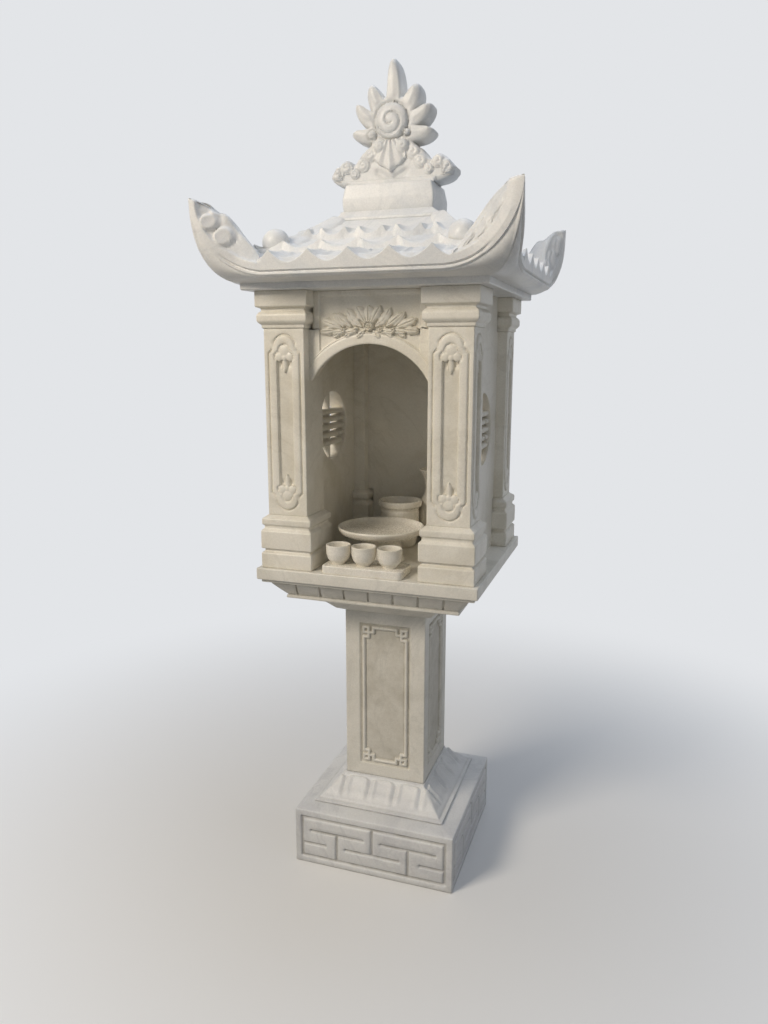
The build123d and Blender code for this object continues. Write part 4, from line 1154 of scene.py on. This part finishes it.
def horn_carving(x, z, top):
    """How far the face lies behind the band: the field's step, its lean, and less the carving."""
    run = np.minimum(out_to_tip(x), 0.999)
    rise = np.clip((TIP_Z - z) / (TIP_Z - EAVE_FOOT), 0, 1)
    from_foot = (1 - np.hypot(run, rise)) * (REACH - LEVEL_HALF) * 0.97
    band = np.where(x < 0, np.interp(-x, [240, 312], [BAND_WIDTH - 2, 9]), BAND_WIDTH)
    field = ease((from_foot - band) / 3.5) * ease((np.abs(x) - WAVE_HALF + 4) / 7)
    band_z = z - (from_foot - band) / np.maximum(np.hypot(run, rise), 0.2)
    lean = np.clip((z - band_z) / np.maximum(top - band_z, 8), 0, 1)
    parts = [coin(x, z, *shape) for shape in COINS] + [looped_leaf(x, z, *shape) for shape in LOOPED_LEAVES]
    carved = np.maximum.reduce(parts)
    carved = np.where(carved > 0.2, carved, np.minimum.reduce(parts))
    near_tip = ease((REACH - np.abs(x)) / 14)
    step = np.where(x < 0, 5.0, 3.6)
    return field * (step + (FIELD_LEAN - step) * lean - carved * near_tip) * near_tip


# %% The whole roof
# The plain bead along the fascia's foot: each row's distance up the face and out from it
BEAD_ROWS = ((1.0, -1.4), (2.8, -0.4), (4.6, -1.2), (5.8, -3.6), (8.2, -4.2), (9.6, -1.2), (10.8, 0.0))


def roof_side(k):
    """One side of the roof: rows from the ceiling's middle out, over the fascia, up to the cap.

    The underside between lip and fascia is a quarter of an ellipse,
    lip + (edge - lip) times (sin, sin, 1 - cos), so that it turns upright towards the horns.
    """
    x = eave_x
    share = x / REACH
    deep, wide = cap_half = (cap_high[(k + 1) % 2], cap_high[k % 2])
    flare = (REACH - FACE_OUT) * ease((np.abs(x) - 228) / (REACH - 228)) ** 0.8
    face_y = -(FACE_OUT + flare)
    foot, top = fascia_foot(x), eave_top(x)
    taper = np.clip((REACH - np.abs(x)) / 12.0, 0, 1)
    run = out_to_tip(x)
    rows = [as_points(0 * x, 0, ROOF_BED)]
    for out, z in ((LIP_HALF * 0.6, 0), (LIP_HALF - 2, 0), (LIP_HALF, 2),
                   (LIP_HALF, LIP_RISE - 1), (LIP_HALF, LIP_RISE)):
        rows.append(as_points(share * out, -out, ROOF_BED + z))
    lip, edge = rows[-1], as_points(x, face_y + 4 * taper, foot)
    for turn in np.radians(np.linspace(9, 90, 10)):
        rows.append(lip + (edge - lip) * [math.sin(turn), math.sin(turn), 1 - math.cos(turn)])
    fade = 1 - ease((np.abs(x) - 246) / 26)
    for up, out in BEAD_ROWS:
        rows.append(as_points(x - run * np.sign(x) * up * taper, face_y - out * taper * fade,
                              foot + np.sqrt(1 - run ** 2) * up * taper))
    low = rows[-1]
    rounding = np.interp(np.abs(x), [WAVE_HALF, WAVE_HALF + 25, REACH - 30, REACH], [2.4, 8.0, 8.0, 3.0])
    rounding = np.minimum(rounding, 0.4 * np.maximum(top - low[:, 2], 0.2))
    high = as_points(x, low[:, 1], top - rounding)
    for part in np.linspace(0, 1, 24)[1:]:
        line = low + (high - low) * part
        line[:, 1] += horn_carving(line[:, 0], line[:, 2], top) * taper
        rows.append(line)
    last = rows[-1]
    for turn in np.radians([22, 45, 68, 90]):
        rows.append(as_points(x, last[:, 1] + rounding * (1 - math.cos(turn)),
                              last[:, 2] + rounding * math.sin(turn)))
    crest = rows[-1]
    to_knee = np.linspace(0, 1, 38)[1:, None]
    to_cap = np.linspace(0, 1, 45)[1:, None]
    along = np.concatenate([x * (1 + (BALL_PLACE / REACH - 1) * to_knee),
                            share * (BALL_PLACE + (wide - BALL_PLACE) * to_cap)])
    out = np.concatenate([-crest[:, 1] + (BALL_PLACE + crest[:, 1]) * to_knee,
                          0 * x + BALL_PLACE + (deep - BALL_PLACE) * to_cap])
    z = roof_height(along, out, cap_half)
    settle = crest[:, 2] - roof_height(crest[:, 0], -crest[:, 1], cap_half)
    z[:len(to_knee)] += settle * np.clip(1 - to_knee / 0.06, 0, 1)
    rows.extend(as_points(along, -out, z))
    rows.append(as_points(0 * x, 0, z[-1].mean()))
    strip = np.stack(rows)
    return as_points(*quarter_turned(strip[..., 0], strip[..., 1], k), strip[..., 2])[:, :-1]


roof_grid = np.concatenate([roof_side(k) for k in range(4)], 1)
make_piece("horned_tile_roof", [(roof_grid, None, True)], roof_finish, "roof_body")

# %% [markdown]
# ## Balls, cap and ridge block
# A ball sits at the lower end of each hip, let a little into it. The cap and the ridge block
# are courses carried round an oblong, the ridge block slightly swollen like a cushion.

# %% Balls, cap and ridge
BALL_SHIFT = (-5.0, 0.0, -6.0)    # the real balls stand a little off the hips' feet, and sunk in


def hand_cut(angle, radius, height):
    """Small unevenness of a ball rubbed by hand, under one millimetre."""
    return radius * 0.012 * (np.sin(3 * angle + height / 9) + np.sin(5 * angle - height / 7))


for corner in CORNERS:
    low, high = box_mm("hip_ball_" + corner)
    radius = (high[0] - low[0]) / 2
    centre = np.array([*(low[:2] + high[:2]) / 2, high[2] - radius]) + BALL_SHIFT
    turn = np.linspace(-math.pi / 2, math.pi / 2, 33)
    outline = np.stack([radius * np.cos(turn), centre[2] + radius * np.sin(turn)], -1)
    make_piece("hip_ball_" + corner + "_rubbed", [turned_about(outline, centre[:2], 48, hand_cut)],
               roof_finish, "hip_ball_" + corner)

ridge_low, ridge_high = box_mm("ridge_block")
ridge_x = (ridge_low[0] + ridge_high[0]) / 2
ridge_foot = ((ridge_high[0] - ridge_low[0]) / 2 - 2, 56.0)


def oblong_course(name, steps, node, foot_half, foot_x):
    """Soft-edged course round an oblong: steps are (share of the foot's half width, height).

    Its middle moves evenly from foot_x at the bottom to the ridge block's middle at the top.
    """
    half_x, half_y = foot_half
    bottom, top = steps[0][1], steps[-1][1]
    points = [(0, bottom)] + [(half_x * share, z) for share, z in steps] + [(0, top)]
    grid, hollow, closed = carried_round(
        divided(softened(points, 3.0, 4), 12.0), 4.0, np.linspace(-1, 1, 13),
        stretch=(1.0, half_y / half_x))
    grid[..., 0] += foot_x + (ridge_x - foot_x) * (grid[..., 2] - bottom) / (top - bottom)
    make_piece(name, [(grid, hollow, closed)], roof_finish, node)


oblong_course("stepped_cap", [
    (1.0, cap_low[2]), (0.985, cap_low[2] + 7), (0.93, cap_low[2] + 8), (0.86, cap_high[2] - 4),
    (0.84, cap_high[2])], "roof_cap", (cap_high[0], cap_high[1]), 0.0)
oblong_course("ridge_cushion", [
    (1.0, ridge_low[2]), (1.018, ridge_low[2] + 14), (1.02, ridge_low[2] + 27),
    (0.985, ridge_high[2] - 12), (0.955, ridge_high[2])], "ridge_block", ridge_foot, ridge_x)

# %% [markdown]
# ## Finial: a disc in flames on a foot of curls
# The finial is a thick plate, carved on its front and back. Seven flames stand round a disc
# with one winding groove, and below them a fluted leaf hangs between rows of curls. The
# flaming part is a sheet in polar form: each ray runs from the middle of the front face out to
# the flame's outline, over its rounded edge, and back to the middle of the rear face. The foot
# is a second sheet between a lower and an upper outline.

# %% Flaming disc
finial_low, finial_high = box_mm("finial")
FINIAL_X = (finial_low[0] + finial_high[0]) / 2
FINIAL_HALF_THICK = 31.0
DISC_Z = finial_low[2] + 123.0
DISC_RADIUS = 34.0
DISC_TURN = 19.0              # the groove winds out this far in one turn
VALLEY_RADIUS = 53.0          # of the outline between two flames
FLAMELESS = 134               # no flame stands further round than this, in degrees from the top
EDGE_ROUND = 11.0
# Each flame: direction of its root in degrees, half its root's width, its tip's distance from
# the disc's middle, and by how many degrees the tip curls up.
FLAMES = [(4, 17.5, 122, -3), (-42, 19.5, 89, 9), (-82, 19, 90, 17), (-119, 17, 92, 17),
          (50, 20, 88, -11), (88, 18, 89, -15), (121, 18, 92, -16)]
KNOBS = (((-41, -25), 9.0), ((33, -24), 8.0))      # two curls beside the disc: middle and radius


def boss(x, z, centre, radius, depth):
    """Round boss with a groove about it and a curl that winds in towards its middle."""
    dx, dz = x - centre[0], z - centre[1]
    far = np.hypot(dx, dz)
    ring = -2.2 * bell(far - radius - 1.0, 2.2)
    turns = far / radius * 1.6 - np.arctan2(dz, dx) / (2 * math.pi)
    curl = -1.8 * spiral_groove(turns, 0.16) * (far < radius * 0.85)
    return depth * dome(far / radius) + ring + curl


def flame_outline(direction):
    """Outline's distance and curl for each direction: the longest flame there above a round body.

    At the share t of its length a flame is a finger of half width w (1 - 0.42 t) sqrt(1 - t^5),
    which as an angle is that width over the distance from the middle.
    """
    distance = np.full_like(direction, VALLEY_RADIUS)
    curl = np.zeros_like(direction)
    t = np.linspace(1, 0, 60)
    for root, width, tip, turn in FLAMES:
        reach = VALLEY_RADIUS + (tip - VALLEY_RADIUS) * t
        angle = np.degrees(width * (1 - 0.42 * t) * np.sqrt(1 - t ** 5) / reach)
        here = np.interp(np.abs(direction - root), angle, reach, right=0)
        share = (here - VALLEY_RADIUS) / (tip - VALLEY_RADIUS)
        curl = np.where(here > distance, turn * np.clip(share, 0, 1) ** 1.2, curl)
        distance = np.maximum(distance, here)
    below = np.abs(direction) > FLAMELESS
    return np.where(below, VALLEY_RADIUS + 10, distance), np.where(below, 0, curl)


def disc_relief(x, z):
    """Domed disc in a ring groove. A groove winds in from its rim by r = a + b times the turn."""
    far = np.hypot(x, z)
    turns = far / DISC_TURN + np.arctan2(z, x) / (2 * math.pi) + 0.45
    groove = spiral_groove(turns, 0.13) * ease((far - 3) / 4) * ease((DISC_RADIUS - 3 - far) / 4)
    swell = 10.0 * dome(far / (DISC_RADIUS + 1), 0.4)
    return swell - 2.6 * bell(far - DISC_RADIUS - 2.5, 2.6) - 3.2 * groove


def flaming_disc():
    """Closed polar sheet of the flaming part, from the front's middle round to the rear's."""
    direction = np.linspace(-180, 180, 341)[:-1]
    distance, curl = flame_outline(direction)
    reach = np.concatenate([np.linspace(0, 0.62, 19), np.linspace(0.65, 1, 20)])[:, None]
    radial = reach * (distance - EDGE_ROUND)
    out = np.clip((radial - VALLEY_RADIUS + EDGE_ROUND) / (distance - VALLEY_RADIUS + 1e-6), 0, 1)
    turn = np.radians(direction + curl * out * (distance > VALLEY_RADIUS + 0.5))
    x, z = radial * np.sin(turn), radial * np.cos(turn)
    roll = 2.0 * ease(1 - (distance - radial) / 20)
    off_root = np.min(np.abs(direction[:, None] - np.array([flame[0] for flame in FLAMES])), 1)
    ridge = 2.2 * bell(off_root, 7) * ease((radial - 42) / 8) * ease((distance - radial) / 12)
    knobs = sum(boss(x, z, place, radius, 6.0) * (np.hypot(x - place[0], z - place[1]) < radius + 4)
                for place, radius in KNOBS)
    proud = disc_relief(x, z) * (radial < 46) - roll * ease((radial - 40) / 8) + ridge + knobs
    front = as_points(x, -(FINIAL_HALF_THICK - 1 + proud), z)
    arc = np.radians(np.linspace(0, 180, 15))[1:-1][:, None]
    edge_out = distance - EDGE_ROUND + EDGE_ROUND * np.sin(arc) ** 0.8
    edge_y = -(FINIAL_HALF_THICK - 3) * np.sign(np.cos(arc)) * np.abs(np.cos(arc)) ** 0.6
    edge_turn = np.radians(direction + curl)
    edge = as_points(edge_out * np.sin(edge_turn), edge_y, edge_out * np.cos(edge_turn))
    return np.concatenate([front, edge, front[::-1] * [1, -1, 1]]) + [FINIAL_X, 0, DISC_Z]


# %% Foot of curls
FOOT_END = 137.0              # half length of the foot
FOOT_SEAT = 92.0              # half length of its seat on the ridge block
CURLS = [(119, 29, 17), (99, 40, 17), (80, 26, 13), (62, 42, 17), (46, 62, 18)]
BASE_BAND = 12.0              # height of the plain band at its foot
# The palmette, a fluted leaf: where its half width is measured, and that half width
PALMETTE_RISE = [26, 32, 40, 50, 62, 74, 86]
PALMETTE_HALF = [0.5, 7, 24, 33, 35, 31, 22]


def foot_outline(x):
    """Lower and upper edge of the foot: a quarter ellipse below each end, and above a line that
    swells over every curl."""
    place = np.abs(x)
    hang = np.clip((place - FOOT_SEAT) / (FOOT_END - FOOT_SEAT), 0, 1)
    lower = 26 - 26 * np.sqrt(1 - hang ** 2)
    swell = 13 * bell(place - 100, 13) + 5 * bell(place - 120, 9) + 6 * bell(place - 66, 12)
    upper = np.interp(place, [0, 40, 50, 84, 112, FOOT_END], [92, 90, 76, 42, 44, 27]) + swell
    return lower, np.maximum(upper, lower + 0.5)


def foot_relief(x, z):
    """Curls, the fluted palmette with its two knobs, the hollows under it, and the plain base band."""
    height = np.full_like(x, -1.5)
    for place, rise, radius in CURLS:
        for side in (-1, 1):
            curl = boss(x * side, z, (place, rise), radius * 0.85, 5.0) - 0.5
            near = np.hypot(x * side - place, z - rise) < radius
            height = np.where(near, np.maximum(height, curl), height)
    leaf_end = 1.2 * np.cos(np.arctan2(z - 12, 108 - np.abs(x)) * 9) * ease((np.abs(x) - 104) / 6)
    hollow = sum(bell(to_segment(side * x, z, (7, 14), (30, 26)), 5.5) for side in (-1, 1))
    height = height + leaf_end - 4.0 * hollow * (z > BASE_BAND)
    share = np.abs(x + 2) / np.interp(z, PALMETTE_RISE, PALMETTE_HALF)
    flutes = 1.8 * np.cos(np.arctan2(x + 2, 100 - z) * 15)
    palmette = 7.0 - 3.0 * share ** 2 + flutes * ease((1 - share) / 0.2)
    palmette = palmette * (share < 1) * (z > 26) * (z < 88)
    height = np.where(palmette > 0, np.maximum(height, palmette), height)
    for side, radius in ((-1, 12.0), (1, 13.5)):
        knob = boss(x, z, (side * 25, 74), radius, 10.0) + 3
        near = np.hypot(x - side * 25, z - 74) < radius + 0.5
        height = np.where(near, np.maximum(height, knob), height)
    band = 2.0 * ease((BASE_BAND - 0.5 - z) / 2.0) * (np.abs(x) < FOOT_SEAT + 4)
    return np.where(z < BASE_BAND, band, height)


def foot_sheet():
    """Closed sheet of the foot: up its front, over the top, down its back and underneath."""
    x = stations(-FOOT_END, FOOT_END, 1.9)
    lower, upper = foot_outline(x)
    share = np.linspace(0.02, 0.98, 46)[:, None]
    z = lower + (upper - lower) * share
    inset = np.minimum(upper - z, FOOT_END - np.abs(x))
    inset = np.minimum(inset, np.where(np.abs(x) > FOOT_SEAT, z - lower, 99))
    rounding = EDGE_ROUND * (1 - dome(1 - np.clip(inset / EDGE_ROUND, 0, 1)))
    depth = FINIAL_HALF_THICK - 2 + foot_relief(x, z) - rounding
    front = as_points(x, -depth, z)
    top, bottom = as_points(x, 0, upper)[None], as_points(x, 0, lower)[None]
    ring = closed_ends(np.concatenate([bottom, front, top, front[::-1] * [1, -1, 1], bottom]))
    return ring + [FINIAL_X, 0, finial_low[2]]


make_piece("flaming_finial", [(flaming_disc(), None, True), (foot_sheet(), None, False)],
           roof_finish, "finial")

# %% [markdown]
# ## Altar ware
# Three cups on a tray, a footed dish, an incense bowl and a vase stand in the niche. All but
# the tray were turned on a lathe, so each is an outline turned about an upright axis: up the
# outside, over a rounded rim and down the inside, with its wall's real thickness. The
# outlines are shares of each vessel's own radius and height, read from the frame.

# %% Turned vessels
def turned_ware(name, node, steps, columns=56):
    """Vessel from (share of radius, share of height) steps, outside first, then the inside."""
    low, high = box_mm(node)
    radius, height = (high[0] - low[0]) / 2, high[2] - low[2]
    outline = np.array(steps) * [radius, height] + [0, low[2]]
    outline = softened(outline, 0.05 * height + 1.0, 6)
    vessel = turned_about(outline, (low[:2] + high[:2]) / 2, columns)
    make_piece(name, [vessel], ware_finish, node)


CUP_STEPS = [
    (0, 0), (0.54, 0), (0.56, 0.05), (0.60, 0.10), (0.86, 0.27), (0.985, 0.54), (1.0, 0.96), (0.98, 1.0),
    (0.90, 1.0), (0.865, 0.94), (0.85, 0.56), (0.70, 0.32), (0.40, 0.20), (0, 0.18)]
for place in ("left", "middle", "right"):
    turned_ware("turned_cup_" + place, "cup_" + place, CUP_STEPS)
turned_ware("footed_dish", "offering_dish", [
    (0, 0), (0.547, 0), (0.547, 0.07), (0.49, 0.15), (0.463, 0.60), (0.52, 0.655), (0.72, 0.70),
    (0.89, 0.77), (0.965, 0.85), (1.0, 0.95), (0.985, 1.0), (0.95, 0.985), (0.90, 0.91), (0.80, 0.855),
    (0.55, 0.81), (0, 0.79)], 96)
turned_ware("incense_bowl_turned", "incense_bowl", [
    (0, 0), (0.68, 0), (0.75, 0.07), (0.86, 0.31), (0.885, 0.55), (0.875, 0.78), (0.84, 0.80),
    (0.84, 0.845), (1.0, 0.875), (1.0, 0.97), (0.96, 1.0), (0.88, 1.0), (0.80, 0.93), (0.75, 0.85),
    (0.745, 0.60), (0.73, 0.42), (0, 0.42)])
turned_ware("necked_vase", "vase", [
    (0, 0), (0.70, 0), (0.70, 0.02), (0.66, 0.045), (0.86, 0.16), (0.99, 0.30), (0.99, 0.42),
    (0.88, 0.53), (0.60, 0.64), (0.50, 0.72), (0.50, 0.78), (0.575, 0.88), (0.90, 1.0), (0.81, 1.0),
    (0.48, 0.885), (0.40, 0.78), (0.40, 0.70), (0.50, 0.64), (0.80, 0.50), (0.90, 0.37), (0.86, 0.26),
    (0.58, 0.07), (0, 0.06)])

# %% Tray
tray_low, tray_high = box_mm("cup_tray")
tray_middle, tray_half = (tray_low + tray_high) / 2, (tray_high - tray_low) / 2
tray_outline = softened([
    (0, tray_low[2]), (tray_half[0] - 1, tray_low[2]), (tray_half[0], tray_low[2] + 2),
    (tray_half[0], tray_high[2]), (0, tray_high[2])], 3.0, 5)
make_piece("cup_tray_rubbed", [carried_round(
    tray_outline, 10.0, np.linspace(-1, 1, 17), stretch=(1.0, tray_half[1] / tray_half[0]),
    centre=tray_middle[:2])], ware_finish, "cup_tray")

# %% [markdown]
# ## A pale studio
# The shrine stands on a plain pale floor. A large soft lamp from the front left is the key,
# as the low sun was, a dimmer and cooler one fills the right, and a third lies above like the
# sky. The floor is paper that the camera sees paler than the light does, so little light
# bounces up from it while its shadow stays, and further out it fades into the pale room. The
# room too is bright only to the camera, to gloss and through glass.

# %% Floor, world and lamps
BACKDROP = "E3E5E8"           # pale grey that floor and room show to the camera
PAPER_LIT, PAPER_SEEN = "A8A6A2", "F8F8F7"
FLOOR_HALF = 12.0
FLOOR_NEAR, FLOOR_FAR = 0.35, 1.8    # the floor fades into the room between these distances
WORLD_LIGHT = 0.22


def seen_ray(owner):
    """1 for camera, glossy and transmission rays, and 0 for the rays that carry light."""
    ray = add_node(owner, "ShaderNodeLightPath").outputs
    glossy = worked_out(owner, "MAXIMUM", ray["Is Camera Ray"], ray["Is Glossy Ray"])
    return worked_out(owner, "MAXIMUM", glossy, ray["Is Transmission Ray"])


paper = bpy.data.materials.new("matt_studio_paper")
paper.use_nodes = True
paper_nodes, paper_links = paper.node_tree.nodes, paper.node_tree.links
matt, seen = paper_nodes["Principled BSDF"], seen_ray(paper)
paper_colour = mixed(paper, seen, linear(PAPER_LIT), linear(PAPER_SEEN))
paper_links.new(paper_colour, matt.inputs["Base Color"])
matt.inputs["Roughness"].default_value = 0.9
spot = add_node(paper, "ShaderNodeTexCoord").outputs["Object"]
far_off = add_node(paper, "ShaderNodeVectorMath", {"operation": "LENGTH"}, {0: spot}).outputs["Value"]
fade = worked_out(paper, "MULTIPLY", spread(paper, far_off, FLOOR_NEAR, FLOOR_FAR), seen)
glow = add_node(paper, "ShaderNodeEmission", inputs={"Color": linear(BACKDROP), "Strength": 1.0})
blend = add_node(paper, "ShaderNodeMixShader", inputs={0: fade, 1: matt.outputs[0], 2: glow.outputs[0]})
paper_links.new(blend.outputs[0], paper_nodes["Material Output"].inputs["Surface"])

floor_mesh = bpy.data.meshes.new("studio_floor")
floor_corners = [(x * FLOOR_HALF, y * FLOOR_HALF, 0) for x, y in ((-1, -1), (1, -1), (1, 1), (-1, 1))]
floor_mesh.from_pydata(floor_corners, [], [(0, 1, 2, 3)])
floor_mesh.materials.append(paper)
floor = bpy.data.objects.new("studio_floor", floor_mesh)
bpy.context.scene.collection.objects.link(floor)

room = bpy.data.worlds.new("pale_room")
bpy.context.scene.world = room
room.use_nodes = True
strength = spread(room, seen_ray(room), 0.0, 1.0, WORLD_LIGHT, 1.0, "LINEAR")
sky = room.node_tree.nodes["Background"]
sky.inputs["Color"].default_value = linear(BACKDROP)
room.node_tree.links.new(strength, sky.inputs["Strength"])


def soft_lamp(name, place, target, size, power, colour):
    """Square area lamp that points from its place at a target, both in metres."""
    light = bpy.data.lights.new(name, "AREA")
    light.shape = "SQUARE"
    light.size = size
    light.energy = power
    light.color = linear(colour)[:3]
    lamp = bpy.data.objects.new(name, light)
    away = np.array(place, float) - target
    lamp.location = place
    lamp.rotation_euler = (math.atan2(math.hypot(away[0], away[1]), away[2]), 0,
                           math.atan2(away[0], -away[1]))
    bpy.context.scene.collection.objects.link(lamp)


SHRINE_MIDDLE = (0, 0, 1.0)
soft_lamp("key_front_left", (-1.9, -3.0, 3.1), SHRINE_MIDDLE, 1.3, 100, "FFF3E2")
soft_lamp("fill_right", (3.4, -1.2, 1.8), SHRINE_MIDDLE, 2.4, 7, "DDE6F5")
soft_lamp("sky_above", (0.3, 0.6, 4.2), SHRINE_MIDDLE, 3.0, 38, "D9E6FB")

# %% Sizes
print("triangles in all:", sum(made.values()))
